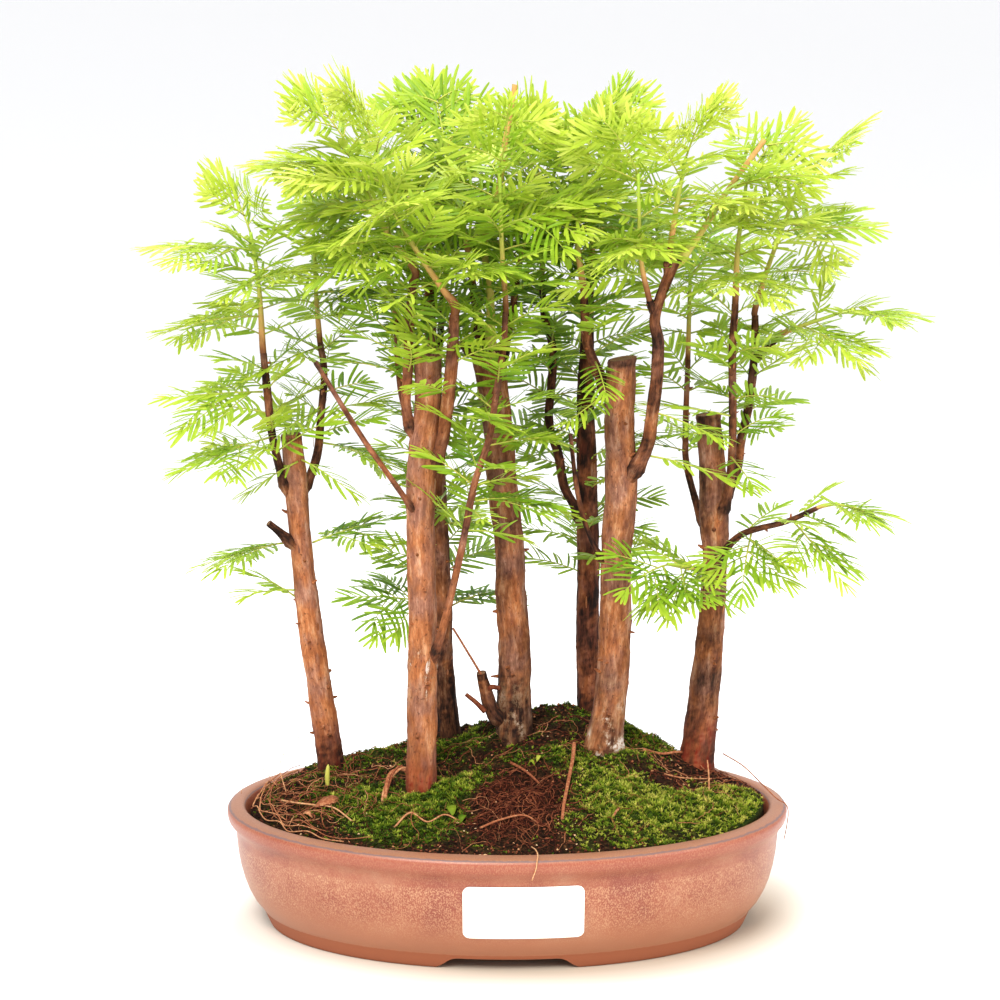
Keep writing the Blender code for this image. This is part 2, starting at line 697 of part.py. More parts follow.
def spray_shells(start, heading, rise, length, draw):
    """The bmeshes of one spray: its main frond and the two that branch from it."""
    way = direction(heading, rise)
    level = Vector((0, 0, 1)) if abs(way.z) < 0.8 else direction(heading, 0)
    face = (level - way * level.dot(way)).normalized()
    face = Matrix.Rotation(math.radians(draw.uniform(-SPRAY_ROLL, SPRAY_ROLL)), 3, way) @ face
    size = mm(length) * draw.uniform(*SPRAY_SIZES)
    shells = []
    main = bmesh.new()
    add_frond(main, start, way, face, size, MAIN_BARE, MAIN_PAIRS)
    shells.append(main)
    at = rib_line(start, way, size)
    for side, share in SIDE_PLACES:
        place, tangent = at(share)
        turned = Matrix.Rotation(math.radians(side * SIDE_ANGLE), 3, face) @ tangent
        tilt = Matrix.Rotation(math.radians(draw.uniform(-SIDE_ROLL, SIDE_ROLL)), 3, turned)
        frond = bmesh.new()
        add_frond(frond, place, turned, tilt @ face, size * SIDE_SHARE, SIDE_BARE, SIDE_PAIRS)
        shells.append(frond)
    return shells


class Room:
    """What is built so far, so that a new spray is bent clear of it."""

    def __init__(self):
        self.filled = []

    def add_object(self, obj, node):
        bm = bmesh.new()
        bm.from_mesh(obj.data)
        self.add(bm, node)
        bm.free()

    def add(self, bm, node):
        self.filled.append((node, BVHTree.FromBMesh(bm, epsilon=0.0)))

    def tree_of(self, node):
        return next(tree for name, tree in self.filled if name == node)

    def crossed(self, shells, node):
        """Whether the shells would cut through any node but their own."""
        trees = [BVHTree.FromBMesh(shell, epsilon=0.0) for shell in shells]
        return any(name != node and other.overlap(tree) for name, other in self.filled for tree in trees)


def seat_on(tree, place, way, stem_radius):
    """Where a spray's foot sits, just off the bark, on the line that leaves a stem's axis."""
    far = place + way * 0.03
    hit, normal, _, _ = tree.ray_cast(far, -way)
    slant = max(0.35, abs(way.dot(normal)))
    lift = mm(GAP) + mm(stem_radius) * math.sqrt(1 - slant * slant)
    return hit + way * (lift / slant)


def grow_spray(start_for, spray, room, node, seed):
    """The shells of a spray, turned about its stem until it is clear of every other node."""
    for turn in TURNS:
        heading = spray.heading + turn
        rise = spray.rise + abs(turn) * TURN_LIFT
        start = start_for(direction(heading, rise))
        shells = spray_shells(start, heading, rise, spray.length, random.Random(seed))
        if not room.crossed(shells, node):
            for shell in shells:
                room.add(shell, node)
            return shells
        for shell in shells:
            shell.free()
    raise ValueError("no room for " + seed)


def shoot_points(stem):
    """The green shoot's points: it starts just off the end of the wood, in line with it."""
    end, way, radius = along(stem.wood, 1.0)
    foot = end * 1000 + way * GAP
    collar = foot + way * 2 * radius
    return ((*foot, radius), (*collar, radius), *stem.green)


def make_shoot(stem, room, scratch):
    """The green shoot itself, noted as filled before any spray looks for room."""
    shoot = tube("shoot_" + stem.name, shoot_points(stem), TWIG_SIDES, scratch)
    room.add_object(shoot, "leafy_" + stem.name)
    return shoot


def make_leafy_stem(stem, shoot, room, scratch, collection, finish):
    """One node: a green shoot with the sprays that grow from it."""
    node = "leafy_" + stem.name
    pieces = [shoot]
    points = shoot_points(stem)
    for number, spray in enumerate(stem.sprays):
        place, way, _ = along(points, spray.at)
        root = place - way * mm(ROOT_DEPTH) if spray.at == 1.0 else place
        for shell in grow_spray(lambda _, spot=root: spot, spray, room, node, f"{stem.name}_{number}"):
            pieces.append(object_of(shell, f"{node}_{len(pieces)}", scratch))
    fuse(node, pieces, collection, finish)


def make_side_sprays(stem, wood_tree, room, scratch, collection, finish):
    """A node for each spray that sits on the stem's bark."""
    for number, spray in enumerate(stem.side_sprays):
        node = f"spray_{stem.name}_{number + 1}"
        place, _, _ = along(stem.wood, spray.at)
        pieces = []
        for shell in grow_spray(
            lambda way, spot=place: seat_on(wood_tree, spot, way, RIB_HALF_WIDTH), spray, room, node, node
        ):
            pieces.append(object_of(shell, f"{node}_{len(pieces)}", scratch))
        fuse(node, pieces, collection, finish)


def stand_on_origin(collection):
    """Moves every piece alike, so that the origin is the middle of the whole object's footprint."""
    bpy.context.view_layer.update()
    corners = [obj.matrix_world @ Vector(corner) for obj in collection.objects for corner in obj.bound_box]
    middle = Vector()
    for axis in (0, 1):
        spread = [corner[axis] for corner in corners]
        middle[axis] = (min(spread) + max(spread)) / 2
    for obj in collection.objects:
        obj.location -= middle


def main():
    for obj in list(bpy.data.objects):
        bpy.data.objects.remove(obj)
    scene = bpy.context.scene.collection
    forest = bpy.data.collections.new("dawn_redwood_forest")
    cutters = bpy.data.collections.new("cutters")
    scratch = bpy.data.collections.new("scratch")
    for collection in (forest, cutters, scratch):
        scene.children.link(collection)
    glaze = material("glazed_stoneware", (0.52, 0.2, 0.13), 0.35)
    paper = material("label_paper", (0.9, 0.9, 0.87), 0.6)
    mesh = material("screen_plastic", (0.03, 0.03, 0.03), 0.5)
    earth = material("soil_and_moss", (0.09, 0.1, 0.03), 0.95)
    bark = material("bark", (0.3, 0.13, 0.07), 0.8)
    needles = material("needles", (0.36, 0.62, 0.08), 0.55)
    room = Room()
    room.add_object(make_tray(forest, cutters, glaze), "tray")
    make_label(forest, paper)
    make_screens(forest, cutters, mesh)
    room.add_object(make_soil(forest, cutters, earth, [stems[0] for stems in TREES.values()]), "soil")
    for name, stems in TREES.items():
        pieces = [tube(stem.name, stem.wood, sides_for(stem.wood), scratch) for stem in stems]
        room.add_object(fuse(name, pieces, forest, bark), name)
    stems = [(name, stem) for name, grown in TREES.items() for stem in grown]
    shoots = {stem.name: make_shoot(stem, room, scratch) for _, stem in stems if stem.green}
    for name, stem in stems:
        if stem.green:
            make_leafy_stem(stem, shoots[stem.name], room, scratch, forest, needles)
        make_side_sprays(stem, room.tree_of(name), room, scratch, forest, needles)
    for obj in forest.objects:
        obj.data.shade_smooth()
        obj.data.set_sharp_from_angle(angle=math.radians(40))
    stand_on_origin(forest)
    bpy.data.collections.remove(scratch)


main()
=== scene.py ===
"""Dawn redwood forest bonsai in an oval glazed tray: its finishes, fine foliage, moss and studio.

Places and sizes are millimetres about the tray's centre, at the height its feet stand on, with
+X to the right, -Y to the front and +Z up. Draft.mesh() turns them to metres in the frame.
"""

import logging
import math
import random
from collections.abc import Callable, Sequence
from dataclasses import dataclass, field
from enum import Enum
from typing import Any

import bmesh
import bpy
import numpy as np
from mathutils import Matrix, Vector, noise
from mathutils.bvhtree import BVHTree
from mathutils.kdtree import KDTree


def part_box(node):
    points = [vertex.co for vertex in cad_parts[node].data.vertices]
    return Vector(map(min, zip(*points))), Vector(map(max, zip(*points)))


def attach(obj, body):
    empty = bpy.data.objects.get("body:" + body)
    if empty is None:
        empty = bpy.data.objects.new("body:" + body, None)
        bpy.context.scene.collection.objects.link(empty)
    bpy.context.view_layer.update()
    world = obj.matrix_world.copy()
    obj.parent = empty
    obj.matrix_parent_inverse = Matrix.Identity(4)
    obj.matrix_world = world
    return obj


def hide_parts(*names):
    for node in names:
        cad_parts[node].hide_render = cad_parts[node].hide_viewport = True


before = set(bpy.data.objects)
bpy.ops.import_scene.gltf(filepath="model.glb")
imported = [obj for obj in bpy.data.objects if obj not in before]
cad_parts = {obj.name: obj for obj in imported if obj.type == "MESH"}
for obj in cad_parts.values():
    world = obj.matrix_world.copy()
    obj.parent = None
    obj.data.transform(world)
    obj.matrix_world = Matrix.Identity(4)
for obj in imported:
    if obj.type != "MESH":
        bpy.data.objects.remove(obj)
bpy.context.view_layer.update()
LOG = logging.getLogger("dawn_redwood_forest")

MM = 0.001
TRAY_LOW, TRAY_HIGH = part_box("tray")
OFFSET = np.array(((TRAY_LOW.x + TRAY_HIGH.x) / 2, (TRAY_LOW.y + TRAY_HIGH.y) / 2, TRAY_LOW.z))
UP = Vector((0.0, 0.0, 1.0))
NO_CORNER = -1
SHADER = "Principled BSDF"

Place = tuple[float, float, float]
Profile = tuple[tuple[float, float], ...]
Line = tuple[tuple[float, float, float, float], ...]
Spots = tuple[tuple[float, float, float, float, float], ...]
Stops = tuple[tuple[float, str], ...]
Recipe = dict[str, tuple[str, dict[Any, Any], dict[Any, str]]]


class Slot(Enum):
    """The record's material slots."""

    GLAZE = "glazed_stoneware"
    PAPER = "label_paper"
    SCREEN = "screen_plastic"
    GROUND = "soil_and_moss"
    BARK = "bark"
    NEEDLES = "needles"


def linear(colour: str) -> tuple[float, float, float, float]:
    """Turns an sRGB hex colour to linear light.

    Args:
        colour: Six hex digits after a hash sign.

    Returns:
        Linear red, green and blue, and an alpha of 1.
    """
    shares = [int(colour[i : i + 2], 16) / 255 for i in (1, 3, 5)]
    red, green, blue = (s / 12.92 if s <= 0.04045 else ((s + 0.055) / 1.055) ** 2.4 for s in shares)
    return red, green, blue, 1.0


def cells(size: float) -> float:
    """The noise scale, in cells a metre, at which one cell is this many millimetres."""
    return 1000.0 / size


def add_node(
    tree: bpy.types.NodeTree, name: str, kind: str, settings: dict[Any, Any], links: dict[Any, str]
) -> None:
    """Adds one shader node with its settings and what feeds it.

    Args:
        tree: The node tree that it goes into.
        name: Its name in the tree.
        kind: The end of its type's name, after ShaderNode, or nothing for a node that is there already.
        settings: Its properties and input values by name or number; "stops" fills a colour ramp.
        links: By input, the name of the node that feeds it, with a dot and the output's name
            where that isn't the first output in use.
    """
    made = tree.nodes.new("ShaderNode" + kind) if kind else tree.nodes[name]
    made.name = name
    for key, value in settings.items():
        if key == "stops":
            elements = made.color_ramp.elements
            while len(elements) < len(value):
                elements.new(1.0)
            for element, (place, colour) in zip(elements, value):
                element.position = place
                element.color = linear(colour) if isinstance(colour, str) else (colour, colour, colour, 1.0)
        elif isinstance(key, str) and hasattr(made, key):
            setattr(made, key, value)
        else:
            made.inputs[key].default_value = value
    for key, source in links.items():
        node, _, output = source.partition(".")
        outputs = tree.nodes[node].outputs
        feed = outputs[output] if output else next(socket for socket in outputs if socket.enabled)
        tree.links.new(feed, made.inputs[key])


@dataclass(frozen=True)
class Finish:
    """What every finish shares: its name, its gloss and the way from its recipe to a material."""

    name: str
    roughness: float = 0.6
    ior: float = 1.5
    sheen: float = 0.5

    def material(self) -> bpy.types.Material:
        """Makes the material from the finish's recipe.

        Returns:
            The material.
        """
        made = bpy.data.materials.new(self.name)
        made.use_nodes = True
        gloss = {"Roughness": self.roughness, "IOR": self.ior, "Specular IOR Level": self.sheen}
        add_node(made.node_tree, SHADER, "", gloss, {})
        for name, row in self.recipe().items():
            add_node(made.node_tree, name, *row)
        return made

    def recipe(self) -> Recipe:
        """The finish's nodes by name, each with its kind, its settings and its links."""
        raise NotImplementedError


@dataclass(frozen=True)
class NukaGlaze(Finish):
    """Stoneware under a satin iron-red glaze, sprayed on and fired.

    The spray leaves pale specks that ran a little downwards, the glaze is thin and red under the
    rim and bare clay shows at the foot.
    """

    speck: float = 0.55
    blotch: float = 34.0
    drift: float = 19.0
    ripple: float = 3.0
    height: float = 66.0
    foot_line: float = 8.0
    tones: tuple[str, ...] = ("#783424", "#84422C", "#8D4E36", "#925C44")
    pale: str = "#B88E6A"
    red: str = "#863F29"
    lip: str = "#885A43"
    edge: str = "#5C4C52"
    lower: str = "#9F6648"
    clay: str = "#925234"

    def recipe(self) -> Recipe:
        """The glaze's zones by height, with the specks laid over them.

        Returns:
            The nodes.
        """
        made: Recipe = {
            "place": ("TexCoord", {}, {}),
            "up": ("SeparateXYZ", {}, {0: "place.Object"}),
            "run": ("Mapping", {"Scale": (1.0, 1.0, 0.55)}, {"Vector": "place.Object"}),
        }
        for name, space, size, detail, rough in (
            ("clouds", "place.Object", self.blotch, 5.0, 0.62),
            ("specks", "run", self.speck, 2.0, 0.6),
            ("drift", "place.Object", self.drift, 2.0, 0.5),
            ("ripple", "place.Object", self.ripple, 3.0, 0.5),
        ):
            noise_settings = {"Scale": cells(size), "Detail": detail, "Roughness": rough}
            made[name] = ("TexNoise", noise_settings, {"Vector": space})
        made["wander"] = ("Math", {"operation": "MULTIPLY_ADD", 1: 0.9 * MM}, {0: "ripple", 2: "up.Z"})
        # Each share goes smoothly from 0 at the first height to its most at the second, in millimetres.
        for name, source, low, high, most in (
            ("wall", "up.Z", 0.0, self.height, 1.0), ("lower", "up.Z", 36.0, 11.0, 0.85),
            ("red", "up.Z", 54.0, 57.5, 0.7), ("lip", "up.Z", 63.2, 64.4, 0.92),
            ("over_edge", "wander", 64.3, 64.6, 0.75), ("under_edge", "wander", 65.2, 64.8, 1.0),
            ("bare", "wander", self.foot_line + 1.5, self.foot_line + 0.6, 1.0),
        ):
            heights = {1: low * MM, 2: high * MM, 3: 0.0, 4: most}
            made[name] = ("MapRange", {"interpolation_type": "SMOOTHSTEP", **heights}, {0: source})
        by_height = ((0.14, 0.1), (0.36, 0.8), (0.72, 0.9), (0.8, 1.0), (0.84, 0.3), (0.93, 0.35))
        made |= {
            "fine": ("MapRange", {1: 0.46, 2: 0.64, 3: 0.0, 4: 0.78}, {0: "specks"}),
            "patchy": ("MapRange", {1: 0.3, 2: 0.62, 3: 0.68, 4: 1.0}, {0: "drift"}),
            "by_height": ("ValToRGB", {"stops": by_height}, {0: "wall"}),
            "broken": ("Math", {"operation": "MULTIPLY"}, {0: "fine", 1: "patchy"}),
            "sprayed": ("Math", {"operation": "MULTIPLY"}, {0: "broken", 1: "by_height"}),
            "edge": ("Math", {"operation": "MULTIPLY"}, {0: "over_edge", 1: "under_edge"}),
            "body": ("ValToRGB", {"stops": tuple(zip((0.36, 0.46, 0.55, 0.66), self.tones))}, {0: "clouds"}),
        }
        top = "body"
        for share, tint in (
            ("lower", self.lower), ("red", self.red), ("lip", self.lip), ("sprayed", self.pale),
            ("edge", self.edge), ("bare", self.clay),
        ):
            made[share + "_laid"] = ("Mix", {"data_type": "RGBA", 7: linear(tint)}, {0: share, 6: top})
            top = share + "_laid"
        return made | {
            "gloss": ("MapRange", {1: 0.0, 2: 1.0, 3: self.roughness, 4: 0.82}, {0: "bare"}),
            "bump": ("Bump", {"Strength": 0.35, "Distance": 0.12 * MM}, {"Height": "specks"}),
            SHADER: ("", {}, {"Base Color": top, "Roughness": "gloss", "Normal": "bump"}),
        }


@dataclass(frozen=True)
class LabelPaper(Finish):
    """Coated label paper: almost even, with a faint fibre that keeps it from looking like plastic."""

    fibre: float = 0.9

    def recipe(self) -> Recipe:
        """A white with faint fibres.

        Returns:
            The nodes.
        """
        return {
            "place": ("TexCoord", {}, {}),
            "fibres": ("TexNoise", {"Scale": cells(self.fibre), "Detail": 4.0}, {"Vector": "place.Object"}),
            "colour": ("ValToRGB", {"stops": ((0.3, "#F1F1EC"), (0.7, "#FCFCF8"))}, {0: "fibres"}),
            "bump": ("Bump", {"Strength": 0.2, "Distance": 0.02 * MM}, {"Height": "fibres"}),
            SHADER: ("", {}, {"Base Color": "colour", "Normal": "bump"}),
        }


@dataclass(frozen=True)
class MouldedMesh(Finish):
    """Moulded black polypropylene mesh, dusty with soil."""

    dust: float = 4.0

    def recipe(self) -> Recipe:
        """Black with brown dust in patches.

        Returns:
            The nodes.
        """
        return {
            "place": ("TexCoord", {}, {}),
            "dust": ("TexNoise", {"Scale": cells(self.dust), "Detail": 5.0}, {"Vector": "place.Object"}),
            "colour": ("ValToRGB", {"stops": ((0.45, "#141312"), (0.7, "#3A2C20"))}, {0: "dust"}),
            SHADER: ("", {}, {"Base Color": "colour"}),
        }


@dataclass(frozen=True)
class PottingEarth(Finish):
    """Dark damp compost of bark crumbs with painted shade in their hollows, a green film under the moss and
    red fibre where it's bare.
    """

    crumb: float = 2.2

    def recipe(self) -> Recipe:
        """Crumbs from noise, tinted by what covers them, near-black in their hollows as painted shade.

        Returns:
            The nodes.
        """
        crumbs = {"Scale": cells(self.crumb), "Detail": 6.0, "Roughness": 0.7}
        made: Recipe = {
            "place": ("TexCoord", {}, {}),
            "crumbs": ("TexNoise", crumbs, {"Vector": "place.Object"}),
            "tone": ("Attribute", {"attribute_name": "tone"}, {}),
            "cover": ("SeparateColor", {}, {0: "tone"}),
        }
        # Each ramp starts near-black where the crumb noise is low, in the hollows of the same bump: painted
        # shade over the compost's own dark colour.
        for name, stops in (
            ("earth", ((0.34, "#070402"), (0.48, "#1B1008"), (0.6, "#352012"), (0.74, "#6A4A2E"))),
            ("film", ((0.36, "#0C1406"), (0.56, "#26380E"), (0.72, "#4A5E1A"))),
            ("fibre", ((0.36, "#0E0402"), (0.52, "#2C1109"), (0.72, "#6B341C"))),
        ):
            made[name] = ("ValToRGB", {"stops": stops}, {0: "crumbs"})
        return made | {
            "greened": ("Mix", {"data_type": "RGBA"}, {0: "cover.Red", 6: "earth", 7: "film"}),
            "colour": ("Mix", {"data_type": "RGBA"}, {0: "cover.Blue", 6: "greened", 7: "fibre"}),
            "bump": ("Bump", {"Strength": 0.8, "Distance": 0.5 * MM}, {"Height": "crumbs"}),
            SHADER: ("", {}, {"Base Color": "colour", "Normal": "bump"}),
        }


@dataclass(frozen=True)
class YoungBark(Finish):
    """Bark of a young dawn redwood: thin fibrous skin, part orange-brown and part pinkish, with dark pores.

    The tone attribute says where it is dark, where pale bloom lies on it and where it is stained red.
    """

    fibre: float = 3.2
    pore: float = 1.2
    hair: float = 0.75
    crust: float = 5.0
    patch: float = 14.0
    stretch: float = 0.24

    def recipe(self) -> Recipe:
        """Fibre along the stem in two hues, pores over it, and the stains that the tone attribute carries.

        Returns:
            The nodes.
        """
        made: Recipe = {
            "grain": ("Attribute", {"attribute_name": "grain"}, {}),
            "tone": ("Attribute", {"attribute_name": "tone"}, {}),
            "stain": ("SeparateColor", {}, {0: "tone"}),
        }
        for name, size, along_stem, detail, rough in (
            ("fibres", self.fibre, self.stretch, 7.0, 0.68), ("hairs", self.hair, 0.3, 3.0, 0.6),
            ("pores", self.pore, 0.62, 2.0, 0.5), ("patches", self.patch, 0.6, 5.0, 0.6),
            ("crust", self.crust, 0.7, 8.0, 0.78),
        ):
            run = name + "_run"
            made[run] = ("Mapping", {"Scale": (1.0, 1.0, along_stem)}, {"Vector": "grain.Vector"})
            noise_settings = {"Scale": 1 / size, "Detail": detail, "Roughness": rough}
            made[name] = ("TexNoise", noise_settings, {"Vector": run})
        for name, tints in (
            ("orange", ("#7A4027", "#955730", "#AA6C43", "#C2946C")),
            ("pinkish", ("#67402F", "#7F5240", "#966852", "#B28C76")),
        ):
            made[name] = ("ValToRGB", {"stops": tuple(zip((0.3, 0.44, 0.56, 0.7), tints))}, {0: "fibres"})
        for name, source, low, high, least, most in (
            ("hue", "patches", 0.42, 0.6, 0.0, 1.0), ("grit", "hairs", 0.34, 0.66, 0.8, 1.16),
            ("spots", "pores", 0.63, 0.71, 0.0, 0.55), ("streaks", "fibres", 0.4, 0.56, 0.25, 1.0),
            ("cracks", "fibres", 0.62, 0.42, 0.72, 1.0), ("flakes", "crust", 0.47, 0.56, 0.0, 1.0),
        ):
            made[name] = ("MapRange", {1: low, 2: high, 3: least, 4: most}, {0: source})
        for name, amount, share in (
            ("red", "stain.Blue", "streaks"), ("dark", "stain.Red", "cracks"),
            ("bloom", "stain.Green", "flakes"),
        ):
            made[name] = ("Math", {"operation": "MULTIPLY"}, {0: amount, 1: share})
        gritty = {"data_type": "RGBA", "blend_type": "MULTIPLY", 0: 1.0}
        made |= {
            "skin": ("Mix", {"data_type": "RGBA"}, {0: "hue", 6: "orange", 7: "pinkish"}),
            "gritty": ("Mix", gritty, {6: "skin", 7: "grit"}),
        }
        top = "gritty"
        for share, tint in (("spots", "#2C130A"), ("red", "#8E260F"), ("dark", "#190A05")):
            made[share + "_laid"] = ("Mix", {"data_type": "RGBA", 7: linear(tint)}, {0: share, 6: top})
            top = share + "_laid"
        bloom = ((0.2, "#96704E"), (0.55, "#A68C74"), (0.9, "#BDB0A6"))
        return made | {
            "bloom_tint": ("ValToRGB", {"stops": bloom}, {0: "bloom"}),
            "bloomed": ("Mix", {"data_type": "RGBA"}, {0: "bloom", 6: top, 7: "bloom_tint"}),
            "dips": ("Math", {"operation": "SUBTRACT"}, {0: "fibres", 1: "spots"}),
            "relief": ("Math", {"operation": "MULTIPLY_ADD", 1: 0.35}, {0: "grit", 2: "dips"}),
            "bump": ("Bump", {"Strength": 0.9, "Distance": 0.4 * MM}, {"Height": "relief"}),
            SHADER: ("", {}, {"Base Color": "bloomed", "Normal": "bump"}),
        }


@dataclass(frozen=True)
class CutWood(Finish):
    """A healed saw cut: weathered tan heartwood with growth rings about a millimetre apart."""

    ring: float = 1.1

    def recipe(self) -> Recipe:
        """Rings round the stem's axis.

        Returns:
            The nodes.
        """
        rings = {"wave_type": "RINGS", "rings_direction": "Z", "Scale": 0.32 / self.ring}
        tan = ((0.0, "#5A3B2A"), (0.5, "#7C5A42"), (1.0, "#8F6E52"))
        return {
            "grain": ("Attribute", {"attribute_name": "grain"}, {}),
            "flat": ("Mapping", {"Scale": (1.0, 1.0, 0.0)}, {"Vector": "grain.Vector"}),
            "rings": ("TexWave", {**rings, "Distortion": 1.5, "Detail": 3.0}, {"Vector": "flat"}),
            "colour": ("ValToRGB", {"stops": tan}, {0: "rings"}),
            SHADER: ("", {}, {"Base Color": "colour"}),
        }


@dataclass(frozen=True)
class TonedFinish(Finish):
    """A finish that takes its colour from the tone attribute's red, from old to fresh, a little mottled."""

    ages: Stops = ()
    mottle: float = 5.0
    detail: float = 2.0
    sway: float = 0.06

    def recipe(self) -> Recipe:
        """The tone and its mottle, turned to colour.

        Returns:
            The nodes.
        """
        patches = {"Scale": cells(self.mottle), "Detail": self.detail}
        return {
            "tone": ("Attribute", {"attribute_name": "tone"}, {}),
            "parts": ("SeparateColor", {}, {0: "tone"}),
            "place": ("TexCoord", {}, {}),
            "patches": ("TexNoise", patches, {"Vector": "place.Object"}),
            "drift": ("MapRange", {1: 0.3, 2: 0.7, 3: -self.sway, 4: self.sway}, {0: "patches"}),
            "age": ("Math", {"operation": "ADD"}, {0: "parts.Red", 1: "drift"}),
            "colour": ("ValToRGB", {"stops": self.ages}, {0: "age"}),
            SHADER: ("", {}, {"Base Color": "colour"}),
        }


@dataclass(frozen=True)
class LeafFinish(TonedFinish):
    """Soft living leaf tissue: satin above, and lit through from behind, which gives it its glow."""

    glow: str = "#D6DE74"
    through: float = 0.38

    def recipe(self) -> Recipe:
        """Colours by age, with some light let through.

        Returns:
            The nodes.
        """
        return super().recipe() | {
            "lit": ("Mix", {"data_type": "RGBA", 0: 0.35, 7: linear(self.glow)}, {6: "colour"}),
            "behind": ("BsdfTranslucent", {}, {"Color": "lit"}),
            "both": ("MixShader", {0: self.through}, {1: SHADER, 2: "behind"}),
            "Material Output": ("", {}, {"Surface": "both"}),
        }


@dataclass(frozen=True)
class StudioPaper(Finish):
    """Matt white background paper, with a painted shadow round the tray and a painted warm reflection of its
    clay.
    """

    half_length: float = 152.0
    half_depth: float = 118.0

    def recipe(self) -> Recipe:
        """A white with a painted shadow and a painted warm reflection of the tray near it.

        Returns:
            The nodes.
        """
        spread = (cells(self.half_length), cells(self.half_depth), 0.0)
        # Painted shadow and painted warm reflection: the dark warm stops near the tray; the last stop is the
        # paper's own white.
        white_with_painted_shadow = ((0.0, "#B8AC9C"), (0.22, "#DAD4CA"), (0.55, "#F0EDE8"), (1.0, "#F6F6F6"))
        return {
            "place": ("TexCoord", {}, {}),
            "spread": ("Mapping", {"Scale": spread}, {"Vector": "place.Object"}),
            "far": ("VectorMath", {"operation": "LENGTH"}, {0: "spread"}),
            "share": ("MapRange", {1: 0.82, 2: 1.7, 3: 0.0, 4: 1.0}, {0: "far.Value"}),
            "colour": ("ValToRGB", {"stops": white_with_painted_shadow}, {0: "share"}),
            SHADER: ("", {}, {"Base Color": "colour"}),
        }


NEEDLE_AGES = ((0.0, "#173A08"), (0.28, "#457412"), (0.52, "#80A420"), (0.76, "#A8BC34"), (1.0, "#C2CA5E"))
MOSS_AGES = ((0.0, "#0B1103"), (0.28, "#233A09"), (0.52, "#4C6A12"), (0.76, "#8E9A2C"), (1.0, "#C2BA5A"))
SHOOT_AGES = ((0.0, "#4A2414"), (0.2, "#7C4A28"), (0.4, "#BC8C52"), (0.62, "#A8A048"), (1.0, "#90AC36"))
ROOT_AGES = ((0.0, "#1C0A06"), (0.25, "#5A291A"), (0.5, "#8C5337"), (0.75, "#B98A62"), (1.0, "#D9BC94"))
# Each finish with its name, its roughness, its index of refraction and how much it shines.
GLAZE = NukaGlaze("iron_red_nuka_glaze", 0.4, 1.5)
PAPER = LabelPaper("coated_label_paper", 0.55, 1.5)
SCREEN = MouldedMesh("moulded_polypropylene_mesh", 0.5, 1.49)
EARTH = PottingEarth("damp_bark_compost", 0.95, 1.4, 0.1)
BARK = YoungBark("dawn_redwood_bark", 0.82, 1.45, 0.2)
CUT_WOOD = CutWood("weathered_end_grain", 0.85, 1.45, 0.25)
NEEDLE = LeafFinish("dawn_redwood_needle", 0.42, 1.42, 0.32, NEEDLE_AGES)
SHOOT = TonedFinish("green_shoot_bark", 0.5, 1.42, 0.3, SHOOT_AGES)
MOSS = LeafFinish("sheet_moss_leaf", 0.6, 1.4, 0.15, MOSS_AGES, mottle=9.0, glow="#B9BC3A", through=0.25)
ROOT = TonedFinish("dry_root_fibre", 0.85, 1.4, 0.15, ROOT_AGES, mottle=1.5, detail=4.0, sway=0.13)
BACKGROUND = StudioPaper("matt_background_paper", 0.9, 1.4, 0.2)


def smooth_line(rows: Sequence[Sequence[float]], step: float) -> np.ndarray:
    """Points on a smooth curve through rows of numbers, of which the first three are a place.

    Args:
        rows: The rows that the curve goes through.
        step: About how far apart the points lie.

    Returns:
        One row for each point.
    """
    known = np.array(rows, float)
    known = np.vstack([2 * known[0] - known[1], known, 2 * known[-1] - known[-2]])
    made = []
    for a, b, c, d in zip(known, known[1:], known[2:], known[3:]):
        count = max(1, round(float(np.linalg.norm((c - b)[:3])) / step))
        t = np.arange(count)[:, None] / count
        made.append(
            0.5 * (2 * b + (c - a) * t + (2 * a - 5 * b + 4 * c - d) * t**2 + (3 * b - a - 3 * c + d) * t**3)
        )
    made.append(known[-2:-1])
    return np.concatenate(made)


